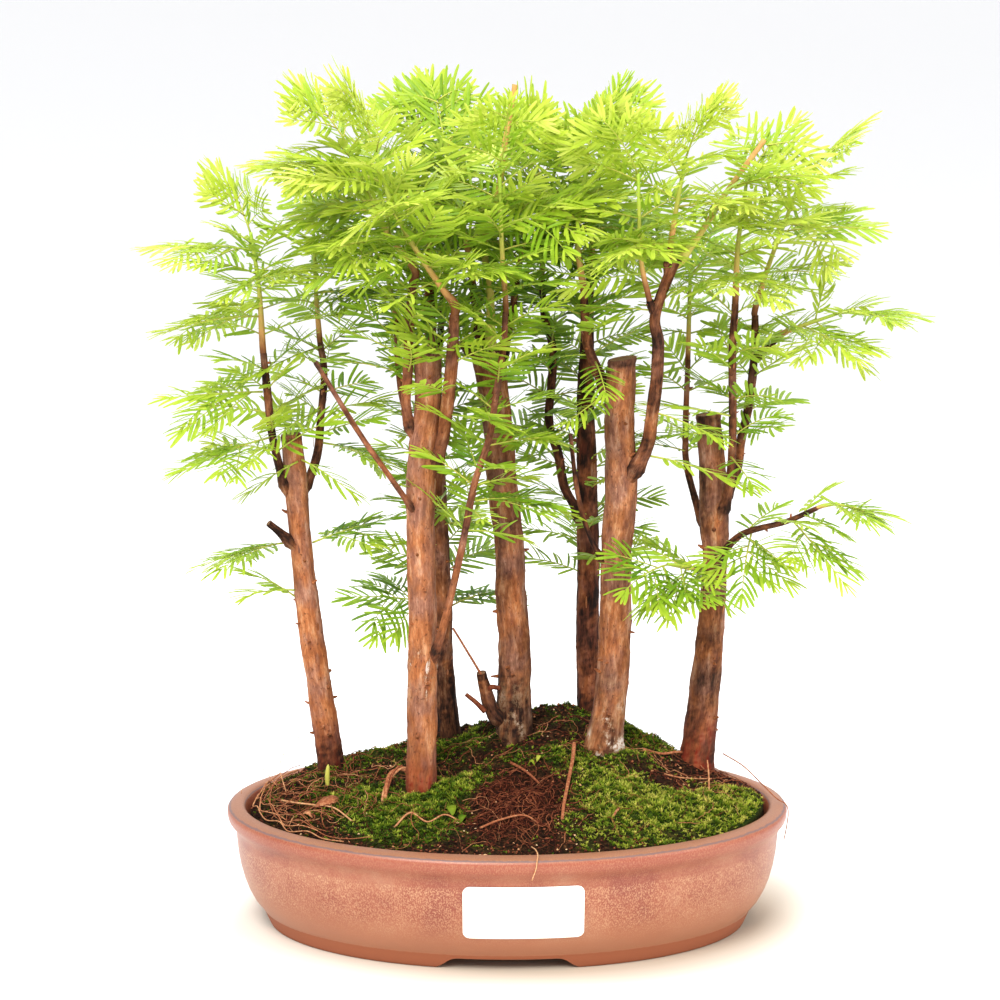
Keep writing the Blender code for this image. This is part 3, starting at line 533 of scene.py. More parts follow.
class Draft:
    """The vertices and faces of one piece, gathered before its mesh is made."""

    def __init__(self) -> None:
        """Starts with nothing."""
        self.points: list[np.ndarray] = []
        self.faces: list[np.ndarray] = []
        self.slots: list[np.ndarray] = []
        self.tones: list[np.ndarray] = []
        self.grains: list[np.ndarray] = []
        self.count = 0

    def add(
        self, points: Any, faces: Any, tone: Any = (0.5, 0.0, 0.0), grain: np.ndarray | None = None,
        slot: int = 0,
    ) -> "Draft":
        """Adds a shell.

        Args:
            points: Its vertices.
            faces: Its faces, four corners each; a triangle's last is NO_CORNER.
            tone: Red, green and blue of the tone attribute, for each vertex or for all.
            grain: The grain attribute for each vertex.
            slot: The number of its finish.

        Returns:
            The draft.
        """
        faces = np.asarray(faces, np.int64)
        self.faces.append(np.where(faces == NO_CORNER, NO_CORNER, faces + self.count))
        self.points.append(np.asarray(points, float))
        self.slots.append(np.full(len(faces), slot))
        self.tones.append(np.broadcast_to(np.asarray(tone, float), (len(points), 3)))
        self.grains.append(np.zeros((len(points), 3)) if grain is None else grain)
        self.count += len(points)
        return self

    def mesh(self, name: str) -> bpy.types.Mesh:
        """Makes the mesh in metres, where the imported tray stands.

        Args:
            name: The mesh's name.

        Returns:
            The mesh, shaded smooth, with its tone and grain attributes.
        """
        points = np.concatenate(self.points) * MM + OFFSET
        faces = np.concatenate(self.faces)
        corners = faces[faces != NO_CORNER]
        sizes = (faces != NO_CORNER).sum(axis=1)
        made = bpy.data.meshes.new(name)
        made.vertices.add(len(points))
        made.vertices.foreach_set("co", points.astype(np.float32).ravel())
        made.loops.add(len(corners))
        made.loops.foreach_set("vertex_index", corners.astype(np.int32))
        made.polygons.add(len(faces))
        starts = np.concatenate(([0], np.cumsum(sizes)[:-1]))
        made.polygons.foreach_set("loop_start", starts.astype(np.int32))
        made.polygons.foreach_set("material_index", np.concatenate(self.slots).astype(np.int32))
        made.update(calc_edges=True)
        tones = np.hstack([np.concatenate(self.tones), np.ones((len(points), 1))])
        for layer_name, kind, value_name, values in (
            ("tone", "FLOAT_COLOR", "color", tones),
            ("grain", "FLOAT_VECTOR", "vector", np.concatenate(self.grains)),
        ):
            layer = made.attributes.new(layer_name, kind, "POINT")
            layer.data.foreach_set(value_name, values.astype(np.float32).ravel())
        made.shade_smooth()
        return made


def rings_to_faces(rings: int, sides: int, around: bool = True) -> np.ndarray:
    """Quads between rings of vertices that are numbered ring by ring.

    Args:
        rings: How many rings.
        sides: Vertices a ring.
        around: Whether each ring closes on itself.

    Returns:
        The quads.
    """
    low = np.arange(rings - 1)[:, None] * sides
    k = np.arange(sides if around else sides - 1)[None, :]
    after = (k + 1) % sides
    quads = np.stack([low + k, low + after, low + sides + after, low + sides + k], axis=-1)
    return quads.reshape(-1, 4)


def closed_rings(rings: int, sides: int) -> np.ndarray:
    """The faces of a closed body: quads between its rings, then a fan at each end.

    Args:
        rings: How many rings.
        sides: Vertices a ring; the middles of the two ends are numbered after the last ring.

    Returns:
        The quads, the first end's triangles and the last end's.
    """
    k = np.arange(sides)
    after = (k + 1) % sides
    last = (rings - 1) * sides
    middle, none = np.full(sides, rings * sides), np.full(sides, NO_CORNER)
    return np.vstack([
        rings_to_faces(rings, sides),
        np.stack([after, k, middle, none], axis=-1),
        np.stack([k + last, after + last, middle + 1, none], axis=-1),
    ])


def oval(half_length: float, half_depth: float, height: float, count: int, x: float = 0.0) -> np.ndarray:
    """A level oval ring of points.

    Args:
        half_length: Its reach along X.
        half_depth: Its reach along Y.
        height: Its height.
        count: How many points.
        x: Where its middle lies along X.

    Returns:
        The points.
    """
    angles = math.tau * np.arange(count) / count
    rows = [x + half_length * np.cos(angles), half_depth * np.sin(angles), np.full(count, height)]
    return np.stack(rows, axis=-1)


def sweep(
    line: np.ndarray, sides: int, swell: Callable[[float, float, float], float] | None = None,
    cut: bool = False,
) -> tuple[np.ndarray, np.ndarray, np.ndarray]:
    """A closed tube along rows of x, y, z and radius.

    Args:
        line: The rows.
        sides: Vertices a ring.
        swell: Gives a factor for the radius from the angle, the run along the line and the radius.
        cut: Whether the far end is a sawn face inside a rim of bark.

    Returns:
        Vertices, faces and the grain attribute.
    """
    places, radii = line[:, :3], line[:, 3]
    ways = np.gradient(places, axis=0)
    ways /= np.linalg.norm(ways, axis=1)[:, None]
    runs = np.concatenate(([0.0], np.cumsum(np.linalg.norm(np.diff(places, axis=0), axis=1))))
    angles = math.tau * np.arange(sides) / sides
    across = np.cross(ways[0], (0.31, 0.9, 0.3))
    points, grain = [], []
    for place, way, radius, run in zip(places, ways, radii, runs):
        across = across - way * across.dot(way)
        across /= np.linalg.norm(across)
        over = np.cross(way, across)
        wide = np.full(sides, radius)
        if swell:
            wide = radius * np.array([swell(angle, run, radius) for angle in angles])
        turned = np.cos(angles)[:, None] * across + np.sin(angles)[:, None] * over
        points.append(place + turned * wide[:, None])
        grain.append(oval(radius, radius, run, sides))
    if cut:
        for share, sink in ((0.86, 0.05), (0.8, 0.4), (0.4, 0.25)):
            points.append(places[-1] + (points[len(places) - 1] - places[-1]) * share - ways[-1] * sink)
            grain.append(grain[len(places) - 1] * (share, share, 1.0))
    faces = closed_rings(len(points), sides)
    points.append(np.array([places[0], places[-1] - ways[-1] * (0.25 if cut else 0.0)]))
    grain.append(np.array([(0.0, 0.0, runs[0]), (0.0, 0.0, runs[-1])]))
    return np.concatenate(points), faces, np.concatenate(grain)


def add_ribbon(
    draft: Draft, places: Sequence[Vector], overs: Sequence[Vector], widths: Sequence[float], thick: float,
    tone: tuple[float, float, float], slot: int = 0, grain: Vector | None = None,
) -> None:
    """Adds a thin closed strip that follows places, its flat side along overs.

    Args:
        draft: The piece that it goes into.
        places: The middle of the strip at each station.
        overs: The way its flat side faces at each station.
        widths: Its width at each station.
        thick: Its thickness.
        tone: Its tone.
        slot: The number of its finish.
        grain: Where in the bark's grain it starts.
    """
    rows = []
    for i, (place, over, width) in enumerate(zip(places, overs, widths)):
        way = (places[min(i + 1, len(places) - 1)] - places[max(i - 1, 0)]).normalized()
        across = way.cross(over).normalized() * (width / 2)
        lift = over.normalized() * (thick / 2)
        rows += [place - across - lift, place + across - lift, place + across + lift, place - across + lift]
    count = len(places)
    last = 4 * (count - 1)
    faces = np.vstack([rings_to_faces(count, 4), [[3, 2, 1, 0]], [[last, last + 1, last + 2, last + 3]]])
    points = np.array(rows)
    seat = None if grain is None else points - points[0] + np.array(grain)
    draft.add(points, faces, tone, seat, slot)


def make_piece(
    source: Draft | bpy.types.Mesh, name: str, finishes: Sequence[bpy.types.Material],
    nodes: Sequence[str] = (), sharp: float = 0.0,
) -> bpy.types.Object:
    """Makes a piece, dresses it and lets it ride on the part's one body.

    Args:
        source: Its draft or its mesh.
        name: Its name.
        finishes: Its materials.
        nodes: The CAD nodes that it stands for.
        sharp: The angle in degrees over which an edge stays sharp, or 0 for none.

    Returns:
        The object.
    """
    mesh = source.mesh(name) if isinstance(source, Draft) else source
    if sharp:
        mesh.set_sharp_from_angle(angle=math.radians(sharp))
    for finish in finishes:
        mesh.materials.append(finish)
    made = bpy.data.objects.new(name, mesh)
    bpy.context.scene.collection.objects.link(made)
    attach(made, "root")
    if nodes:
        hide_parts(*nodes)
    mesh.calc_loop_triangles()
    LOG.info("%s: %d triangles", name, len(mesh.loop_triangles))
    return made


def spots(x: float, y: float, rows: Spots) -> float:
    """The sum at a place of soft spots, each with its strength, its middle and its reach along X and Y."""
    return sum(
        most * math.exp(-(((x - u) / wide) ** 2) - ((y - v) / deep) ** 2) for most, u, v, wide, deep in rows
    )


def speckle(x: float, y: float, size: float, seed: float = 0.0) -> float:
    """Smooth noise between about -1 and 1, with bumps of a size in millimetres."""
    return noise.noise(Vector((x / size, y / size, seed)))


@dataclass
class Tray:
    """The oval tray with its lip, bowed wall and four feet."""

    half_length: float = 150.0
    half_depth: float = 102.0
    segments: int = 160
    outside: Profile = (
        (2.6, 64.9), (1.0, 64.2), (0.15, 63.0), (0.0, 61.5), (0.2, 59.2), (0.9, 57.4), (2.6, 55.2),
        (3.9, 53.2), (4.5, 51.0), (4.9, 46.0), (5.5, 40.0), (6.7, 33.0), (8.4, 26.5), (10.6, 20.5),
        (13.6, 14.8), (17.0, 10.4), (18.6, 8.2), (19.6, 5.5), (21.2, 1.6), (21.8, 0.5), (22.6, 0.0),
    )
    underside: Profile = ((29.6, 0.0), (30.2, 0.5), (30.8, 8.0), (33.0, 9.0), (60.0, 9.0))
    inside: Profile = (
        (60.0, 17.5), (26.0, 17.5), (19.0, 22.0), (16.0, 27.0), (13.2, 44.0), (11.6, 57.0), (9.9, 63.4),
        (8.8, 65.2), (7.4, 65.8),
    )
    gap_front: tuple[float, float] = (74.0, 54.0)
    gap_end: tuple[float, float] = (40.0, 26.0)
    gap_height: float = 6.5
    drain_x: float = 62.0
    drain_radius: float = 11.0
    drain_sides: int = 40
    sharp: float = 42.0

    def ring(self, inset: float, height: float, count: int) -> np.ndarray:
        """The points of a level ring at an inset from the rim's outer line."""
        return oval(self.half_length - inset, self.half_depth - inset, height, count)

    def inset_at(self, height: float) -> float:
        """How far the outer wall lies inside the rim's line.

        Args:
            height: The height on the wall.

        Returns:
            The inset.
        """
        for (inset_a, high), (inset_b, low) in zip(self.outside, self.outside[1:]):
            if low <= height <= high:
                return inset_a + (inset_b - inset_a) * (high - height) / (high - low)
        return 0.0

    def build(self) -> bpy.types.Mesh:
        """Lofts the tray and cuts its foot gaps and drain holes.

        Returns:
            The tray's mesh.
        """
        profile = self.underside[::-1] + self.outside[::-1] + self.inside[::-1]
        rings = [self.ring(inset, height, self.segments) for inset, height in profile]
        middles = [[0.0, 0.0, profile[0][1]], [0.0, 0.0, profile[-1][1]]]
        blank = Draft().add(np.vstack([*rings, middles]), closed_rings(len(rings), self.segments))
        body = bpy.data.objects.new("tray_blank", blank.mesh("tray_blank"))
        bpy.context.scene.collection.objects.link(body)
        cutters = [self.gap_cutter(self.gap_front, False), self.gap_cutter(self.gap_end, True)]
        wide = self.drain_radius
        for x in (-self.drain_x, self.drain_x):
            ends = [oval(wide, wide, height, self.drain_sides, x) for height in (2.0, 24.0)]
            cutters.append(self.cutter(ends))
        for cutter in cutters:
            bpy.context.scene.collection.objects.link(cutter)
            body.modifiers.new("Cut", "BOOLEAN").object = cutter
        bpy.context.view_layer.update()
        graph = bpy.context.evaluated_depsgraph_get()
        mesh = bpy.data.meshes.new_from_object(body.evaluated_get(graph))
        for used in (body, *cutters):
            bpy.data.objects.remove(used)
        mesh.name = "tray_body"
        mesh.shade_smooth()
        return mesh

    def gap_cutter(self, widths: tuple[float, float], along_x: bool) -> bpy.types.Object:
        """A bar that cuts the gap between two feet, with sloping sides and rounded upper corners.

        Args:
            widths: The gap's width at the ground and at its top.
            along_x: Whether it runs along X.

        Returns:
            The cutter.
        """
        low, high = widths[0] / 2, widths[1] / 2
        top = self.gap_height
        side = [
            (low + 1.6, -1.0), (low, 0.2), (low - 3.4, 2.1), (high + 3.2, top - 1.6), (high + 1.0, top - 0.4),
            (high - 1.4, top),
        ]
        outline = side + [(-across, height) for across, height in side[::-1]]
        reach = self.half_length + 5.0
        return self.cutter([
            [(end, across, height) if along_x else (across, end, height) for across, height in outline]
            for end in (-reach, reach)
        ])

    @staticmethod
    def cutter(ends: Sequence[Sequence[Place]]) -> bpy.types.Object:
        """A closed bar between two like outlines.

        Args:
            ends: The points of the two.

        Returns:
            An object that holds the bar, all its faces turned out.
        """
        count = len(ends[0])
        mesh = Draft().add(np.concatenate(ends), rings_to_faces(2, count)).mesh("cutter")
        bar = bmesh.new()
        bar.from_mesh(mesh)
        bar.verts.ensure_lookup_table()
        for first in (0, count):
            bar.faces.new(bar.verts[first : first + count])
        bmesh.ops.recalc_face_normals(bar, faces=bar.faces)
        bar.to_mesh(mesh)
        bar.free()
        return bpy.data.objects.new("cutter", mesh)

    def dress(self) -> None:
        """Makes the tray's piece."""
        make_piece(self.build(), "glazed_tray", [GLAZE.material()], ["tray"], self.sharp)


@dataclass
class Label:
    """The blank label with round corners, bent to the tray's front wall."""

    tray: Tray
    width: float = 61.0
    low: float = 21.0
    high: float = 50.0
    centre: float = 8.0
    corner: float = 3.6
    thick: float = 0.18
    off: float = 0.25
    columns: int = 40
    rows: int = 14
    sharp: float = 50.0

    def dress(self) -> None:
        """Makes the label's piece."""
        shares = [-math.cos(math.pi * k / self.columns) for k in range(self.columns + 1)]
        half, tall = self.width / 2, (self.high - self.low) / 2
        points = []
        for depth in (self.off + self.thick, self.off):
            for share in shares:
                across = share * half
                past = abs(across) - (half - self.corner)
                reach = tall
                if past > 0:
                    reach = tall - self.corner + math.sqrt(max(self.corner**2 - past**2, 0.01))
                for row in range(self.rows + 1):
                    height = (self.low + self.high) / 2 + reach * (2 * row / self.rows - 1)
                    inset = self.tray.inset_at(height)
                    x = self.centre + across
                    along_wall = x / (self.tray.half_length - inset)
                    y = -(self.tray.half_depth - inset) * math.sqrt(1 - along_wall**2)
                    points.append((x, y - depth, height))
        count = self.rows + 1
        side = (self.columns + 1) * count
        front = rings_to_faces(self.columns + 1, count, around=False)
        faces = [front[:, ::-1], front + side]
        edge = list(range(count)) + [c * count + self.rows for c in range(1, self.columns + 1)]
        edge += [self.columns * count + r for r in range(self.rows - 1, -1, -1)]
        edge += [c * count for c in range(self.columns - 1, 0, -1)]
        faces.append(np.array([(a, b, b + side, a + side) for a, b in zip(edge, edge[1:] + edge[:1])]))
        draft = Draft().add(points, np.vstack(faces))
        make_piece(draft, "blank_paper_label", [PAPER.material()], ["blank_label"], self.sharp)


# What covers the mound: soft spots, each with its strength, its middle and its reach along X and Y.
FRESH_MOSS = ((1.3, -50, -44, 34, 28), (1.1, -24, -18, 15, 14), (0.55, -82, -18, 22, 20))
GOLD_MOSS = ((1.05, 68, -42, 50, 42), (0.9, 124, -24, 26, 24))
GREEN_MOSS = ((0.6, 18, -2, 36, 14), (0.55, -80, 30, 34, 24), (0.8, 80, 34, 24, 18), (0.6, -24, 30, 16, 16))
THIN_MOSS = ((0.4, 30, 58, 110, 30), (0.3, -112, -14, 26, 36))
RED_FIBRE = ((1.7, 5, -42, 19, 24),)
DARK_EARTH = ((0.9, 88, -12, 14, 9), (1.1, 112, 14, 20, 16))
HEAPED = ((5.0, 132, -6, 20, 36), (2.0, 60, -84, 60, 14))

# Where fine roots lie: how many, middle, spread, steps of each, step, lift, radius and range of tones.
ROOT_PATCHES = (
    (170, (-110.0, -14.0), (22.0, 36.0), 17, 2.0, 2.4, 0.24, (0.1, 0.7)),
    (50, (-72.0, -40.0), (36.0, 28.0), 13, 1.9, 1.5, 0.22, (0.1, 0.66)),
    (80, (0.0, -66.0), (64.0, 16.0), 11, 1.8, 1.2, 0.18, (0.06, 0.6)),
    (430, (5.0, -42.0), (15.0, 18.0), 8, 1.4, 1.3, 0.24, (0.0, 0.42)),
    (150, (-20.0, 16.0), (62.0, 26.0), 13, 1.9, 1.9, 0.22, (0.06, 0.62)),
    (110, (104.0, 6.0), (34.0, 40.0), 14, 1.9, 2.0, 0.22, (0.08, 0.66)),
)
# Sticks and long roots on the mound: radius, tone and points of x, y and height over the ground.
LAID_STICKS = (
    (1.1, 0.5, ((36, 2, 4.5), (34.6, -14, 4.6), (31, -38, 3.2), (29, -52, 2.0), (28, -62, 1.2))),
    (0.5, 0.62, ((107, -16, 0.2), (107, -13, 9.0), (106.5, -9, 16.0))),
    (0.45, 0.62, ((84, -4, 1.5), (92, -7, 1.6), (101, -3, 1.4), (112, 3, 1.0))),
    (0.8, 0.55, ((54, -61, 0.4), (56, -56, 1.4), (58, -50, 1.2))),
    (0.8, 0.4, ((2, -4, 1.6), (10, -16, 2.0), (17, -26, 1.2))),
    (0.55, 0.7, ((-120, -14, 1.5), (-112, -24, 2.6), (-100, -30, 2.4), (-90, -38, 2.0), (-80, -50, 0.6))),
    (0.55, 0.6, ((-58, -60, 0.5), (-50, -55, 2.4), (-41, -58, 1.2), (-32, -52, 2.2), (-22, -55, 0.6))),
    (0.6, 0.5, ((-14, -66, 0.6), (-4, -60, 2.2), (8, -58, 2.0), (16, -64, 0.6))),
    (0.8, 0.5, ((100, 27, 2.0), (92, 20, 3.0), (84, 16, 1.6), (74, 18, 1.2))),
)
# Sticks and roots that hang free, lean on a trunk or cross the rim: radius, tone and points of x, y and z.
FREE_STICKS = (
    (0.8, 0.5, ((-11.5, 22.5, 122.0), (-14.0, 21.0, 129.0), (-21.0, 18.0, 142.0), (-29.0, 14.0, 156.5))),
    (1.5, 0.3, ((-12.0, 23.0, 108.0), (-17.0, 22.0, 113.5), (-22.3, 21.5, 118.0))),
    (1.7, 0.3, ((-11.0, 22.0, 121.0), (-8.0, 24.0, 121.5), (-4.0, 27.0, 120.0))),
    (0.36, 0.5, ((118.0, 24.0, 84.0), (128.0, 14.0, 80.0), (137.0, 2.0, 73.5), (144.0, -6.0, 68.0),
                 (148.9, -7.6, 65.2), (150.2, -8.5, 60.5), (149.4, -9.0, 53.0), (148.0, -9.8, 46.0))),
    (0.35, 0.75, ((12.0, -82.0, 66.0), (14.0, -90.5, 67.2), (15.0, -97.0, 66.8), (14.6, -101.2, 65.0),
                  (14.0, -102.3, 61.0), (12.0, -101.8, 55.0))),
    (0.22, 0.7, ((-118.0, -8.0, 72.0), (-122.0, 2.0, 84.0), (-116.0, 6.0, 95.0), (-106.0, 10.0, 101.0))),
    (0.2, 0.6, ((-124.0, 6.0, 71.0), (-134.0, 12.0, 80.0), (-141.0, 6.0, 77.0), (-143.0, 2.0, 68.0))),
)
# The stem that leans over at the left: the path that its strands twist along, and the turn, radius and
# tone of each strand.
TWISTED_PATH = (
    (-65, -30, 0.2), (-64.5, -25, 2.6), (-63, -20, 5.4), (-61, -14, 8.2), (-57, -11, 9.6), (-52, -10, 8.6)
)
TWISTED_STRANDS = ((0.0, 1.05, 0.5), (2.1, 0.8, 0.62), (4.2, 0.65, 0.38))
# The green shoot at the left: how far aside and up from its foot, and its radius.
SHOOT_ROWS = ((0.0, 0.0, 1.0), (0.0, 6.0, 1.3), (0.4, 10.5, 0.9), (0.6, 12.0, 0.25))
# The dead leaf and the leaflets on the moss: x, y, heading, length, tone and finish.
LEAFLETS = (
    (-93, -29, 20, 17, 0.5, 0), (-104, -42, 160, 6, 0.6, 0), (-29, -46, 98, 11, 0.62, 2),
    (-23, -52, 70, 9, 0.55, 2), (17, -9, 60, 5, 0.8, 2), (13, -12, 160, 3.5, 0.72, 2),
    (128, -24, 30, 4, 0.8, 2),
)


@dataclass
class Mound:
    """The mound of compost with its moss, roots and litter."""

    tray: Tray
    trunks: list[tuple[float, float, float]]
    inset: float = 12.5
    edge: float = 62.0
    crest: float = 82.0
    rise: float = 22.0
    crest_x: float = 35.0
    crest_width: float = 55.0
    middle_slope: float = 0.68
    back_slope: float = 0.0062
    spokes: int = 230
    rings: int = 84
    under: Profile = ((27.5, 18.0), (16.6, 27.5), (13.1, 57.0), (12.3, 61.0))
    moss_reach: tuple[float, float] = (138.0, 88.0)
    tuft_step: float = 1.5
    blade_length: float = 2.7
    blade_width: float = 0.62
    crumbs: int = 7000
    crumb_reach: tuple[float, float] = (137.0, 89.0)
    root_share: float = 0.96
    stray_share: float = 0.985
    ground_share: float = 0.995
    shoot_foot: tuple[float, float] = (-96.0, -6.0)

    def height(self, x: float, y: float) -> float:
        """The mound's height, as in the packed soil.

        Args:
            x: To the right.
            y: To the back.

        Returns:
            The height.
        """
        edge = self.edge_share(x, y)
        crest = self.crest + self.rise * math.exp(-(((x - self.crest_x) / self.crest_width) ** 2))
        slope = self.middle_slope + self.back_slope * y
        lumps = 1.6 * math.sin(0.11 * x + 0.6) * math.cos(0.13 * y) + 1.1 * math.sin(0.23 * y - 0.17 * x)
        return self.edge + ((crest - self.edge) * slope + lumps) * max(0.0, 1 - edge**6)

    def edge_share(self, x: float, y: float) -> float:
        """How far out a place lies: 0 at the middle, 1 at the tray's wall."""
        return math.hypot(x / (self.tray.half_length - self.inset), y / (self.tray.half_depth - self.inset))

    def cover(self, x: float, y: float) -> Place:
        """What grows at a place.

        Args:
            x: To the right.
            y: To the back.

        Returns:
            How much moss there is, how yellow it is, and how much red fibre lies bare.
        """
        ragged = 0.44 * speckle(x, y, 11.0) + 0.36 * speckle(x, y, 4.2, 4.0)
        fresh, gold, bare = (spots(x, y, rows) for rows in (FRESH_MOSS, GOLD_MOSS, RED_FIBRE))
        grown = fresh + gold + spots(x, y, GREEN_MOSS) + spots(x, y, THIN_MOSS)
        moss = min(1.0, max(0.0, grown - bare - spots(x, y, DARK_EARTH) + ragged - 0.14))
        yellow = min(1.0, max(0.0, (0.8 * gold + 0.15 * fresh) / (grown + 0.05)))
        return moss, yellow, min(1.0, max(0.0, bare + ragged - 0.25))

    def surface(self, x: float, y: float) -> float:
        """The mound's height with its crumbs and moss cushions.

        Args:
            x: To the right.
            y: To the back.

        Returns:
            The height.
        """
        moss, _, _ = self.cover(x, y)
        fade = min(1.0, (7.0 + 14.0 * moss) * (1.0 - self.edge_share(x, y)))
        crumbs = 1.9 * speckle(x, y, 8.0, 2.0) + (0.9 - 0.4 * moss) * speckle(x, y, 2.6, 8.0)
        cushion = moss * (1.9 + 2.2 * speckle(x, y, 6.5, 12.0))
        return self.height(x, y) + spots(x, y, HEAPED) + fade * (crumbs + cushion)

    def open_ground(self, x: float, y: float, clear: float = 0.0) -> bool:
        """Whether a place is on the mound and clear of the trunks.

        Args:
            x: To the right.
            y: To the back.
            clear: How far from a trunk's bark it has to be.

        Returns:
            Whether it is.
        """
        if self.edge_share(x, y) > self.ground_share:
            return False
        return all(math.hypot(x - tx, y - ty) > radius + clear for tx, ty, radius in self.trunks)

    def build_ground(self) -> Draft:
        """The compost as one closed body: its crumbed top over the shape that fills the tray.

        Returns:
            Its draft.
        """
        length, depth = self.tray.half_length - self.inset, self.tray.half_depth - self.inset
        angles = math.tau * np.arange(self.spokes) / self.spokes
        rings = [self.tray.ring(inset, height, self.spokes) for inset, height in self.under]
        tones = [np.zeros((self.spokes * len(rings), 3))]
        for ring in range(self.rings):
            share = (1.0 - (ring + 0.5) / self.rings) ** 0.8
            places = [(length * share * math.cos(angle), depth * share * math.sin(angle)) for angle in angles]
            rings.append(np.array([(*place, self.surface(*place)) for place in places]))
            tones.append(np.array([self.cover(*place) for place in places]))
        middles = ((0.0, 0.0, self.under[0][1]), (0.0, 0.0, self.surface(0.0, 0.0)))
        tones += [((0.0, 0.0, 0.0), self.cover(0.0, 0.0))]
        faces = closed_rings(len(rings), self.spokes)
        return Draft().add(np.vstack([*rings, middles]), faces, np.vstack(tones))

    def build_moss(self, side: int) -> Draft:
        """The tufts of moss on one half of the mound.

        Args:
            side: -1 for the left half and 1 for the right.

        Returns:
            Their draft.
        """
        draw = random.Random(f"moss_{side}")
        blades = []
        y = -self.moss_reach[1]
        while y < self.moss_reach[1]:
            x = 0.0
            while x < self.moss_reach[0]:
                at_x, at_y = side * (x + draw.uniform(0.0, 1.8)), y + draw.uniform(-0.9, 0.9)
                x += self.tuft_step
                if not self.open_ground(at_x, at_y, 0.4):
                    continue
                moss, yellow, _ = self.cover(at_x, at_y)
                if draw.random() > 1.6 * moss:
                    continue
                clump = speckle(at_x, at_y, 4.5, 21.0)
                base = Vector((at_x, at_y, self.surface(at_x, at_y) - 0.4))
                size = self.blade_length * (0.55 + 0.6 * moss) * draw.uniform(0.75, 1.2)
                age = 0.32 + 0.32 * yellow + 0.12 * moss + 0.5 * clump + draw.uniform(-0.24, 0.24)
                turn = draw.uniform(0.0, math.tau)
                count = draw.choice((5, 6, 7))
                for number in range(count):
                    angle = turn + math.tau * number / count + draw.uniform(-0.3, 0.3)
                    lean = draw.uniform(0.35, 1.3)
                    blades.append((base, angle, lean, size * draw.uniform(0.7, 1.15), age))
            y += self.tuft_step
        return self.blades_to_draft(blades, draw)

    def blades_to_draft(
        self, blades: list[tuple[Vector, float, float, float, float]], draw: random.Random
    ) -> Draft:
        """Turns blades, each a base, heading, lean, length and age, to kinked leaflets.

        Args:
            blades: The blades.
            draw: The source of their small differences.

        Returns:
            Their draft.
        """
        points, tones, faces = [], [], []
        for first, (base, angle, lean, size, age) in zip(range(0, 5 * len(blades), 5), blades):
            out = Vector((math.cos(angle), math.sin(angle), 0.0))
            across = Vector((-out.y, out.x, 0.0)) * (self.blade_width / 2)
            middle = base + (out * math.sin(lean * 0.6) + UP * math.cos(lean * 0.6)) * (size * 0.55)
            tip = middle + (out * math.sin(lean * 1.3) + UP * math.cos(lean * 1.3)) * (size * 0.5)
            points += [base - across * 0.6, base + across * 0.6, middle + across, middle - across, tip]
            shade = age + draw.uniform(-0.07, 0.07)
            tones += [(shade - 0.3, 0.0, 0.0)] * 2 + [(shade, 0.0, 0.0)] * 2 + [(shade + 0.2, 0.0, 0.0)]
            faces += [(first, first + 1, first + 2, first + 3), (first + 3, first + 2, first + 4, NO_CORNER)]
        return Draft().add(points, faces, np.clip(tones, 0.0, 1.0))

    def wander(
        self, draw: random.Random, start: tuple[float, float], steps: int, step: float, lift: float
    ) -> list[Place]:
        """A line that strays over the mound, now and then lifting off it.

        Args:
            draw: The source of its turns.
            start: Where it begins.
            steps: How many points follow.
            step: How far apart they are.
            lift: How high it rises.

        Returns:
            Its points.
        """
        x, y = start
        heading = draw.uniform(0.0, 360.0)
        phase = draw.uniform(0.0, math.tau)
        line = []
        for number in range(steps + 1):
            share = number / steps
            height = max(0.0, lift * math.sin(math.pi * share + 0.25 * math.sin(phase + 5.0 * share)))
            if self.edge_share(x, y) > self.stray_share:
                break
            line.append((x, y, self.surface(x, y) + 0.2 + height))
            heading += draw.uniform(-42.0, 42.0)
            x += step * math.cos(math.radians(heading))
            y += step * math.sin(math.radians(heading))
        return line

    def build_roots(self) -> Draft:
        """Fine roots, red fibres, twigs and the few bits of litter that lie on the moss.

        Returns:
            Their draft.
        """
        draft = Draft()
        draw = random.Random("roots")
        for count, middle, reach, steps, step, lift, radius, tones in ROOT_PATCHES:
            for _ in range(count):
                start = (draw.gauss(middle[0], reach[0]), draw.gauss(middle[1], reach[1]))
                if self.edge_share(*start) > self.root_share:
                    continue
                line = self.wander(draw, start, steps, step, lift)
                if len(line) < 4:
                    continue
                self.add_root(draft, line, radius * draw.uniform(0.6, 1.35), draw.uniform(*tones))
        for radius, tone, line in self.laid_sticks():
            self.add_root(draft, line, radius, tone, 8, 0.75)
        return draft

    def laid_sticks(self) -> list[tuple[float, float, Sequence[Place]]]:
        """The sticks and long roots that stand out.

        Returns:
            A radius, a tone and points for each: those of the twisted stem, the roots along the
            wall at the left, and those of the tables.
        """
        lifted = [
            (radius, tone, [(x + 0.9 * math.cos(turn + k), y, lift + 0.9 * math.sin(turn + k))
                            for k, (x, y, lift) in enumerate(TWISTED_PATH)])
            for turn, radius, tone in TWISTED_STRANDS
        ]
        for turn in range(7):
            share, lift = 0.9 + 0.014 * turn, 1.0 + 0.6 * (turn * 5 % 7)
            length = (self.tray.half_length - self.inset) * share
            depth = (self.tray.half_depth - self.inset) * share
            line = []
            for angle in map(math.radians, range(146 + 9 * turn % 20, 206 + 11 * turn % 34, 6)):
                sway = math.sin(3.1 * angle * (turn + 2))
                x = length * math.cos(angle) + 1.1 * sway
                line.append((x, depth * math.sin(angle), lift + 1.2 * sway))
            lifted.append((0.2 + 0.035 * turn, 0.36 + 0.045 * turn, line))
        laid = [
            (radius, tone, [(x, y, self.surface(x, y) + lift) for x, y, lift in line])
            for radius, tone, line in (*lifted, *LAID_STICKS)
        ]
        return laid + list(FREE_STICKS)

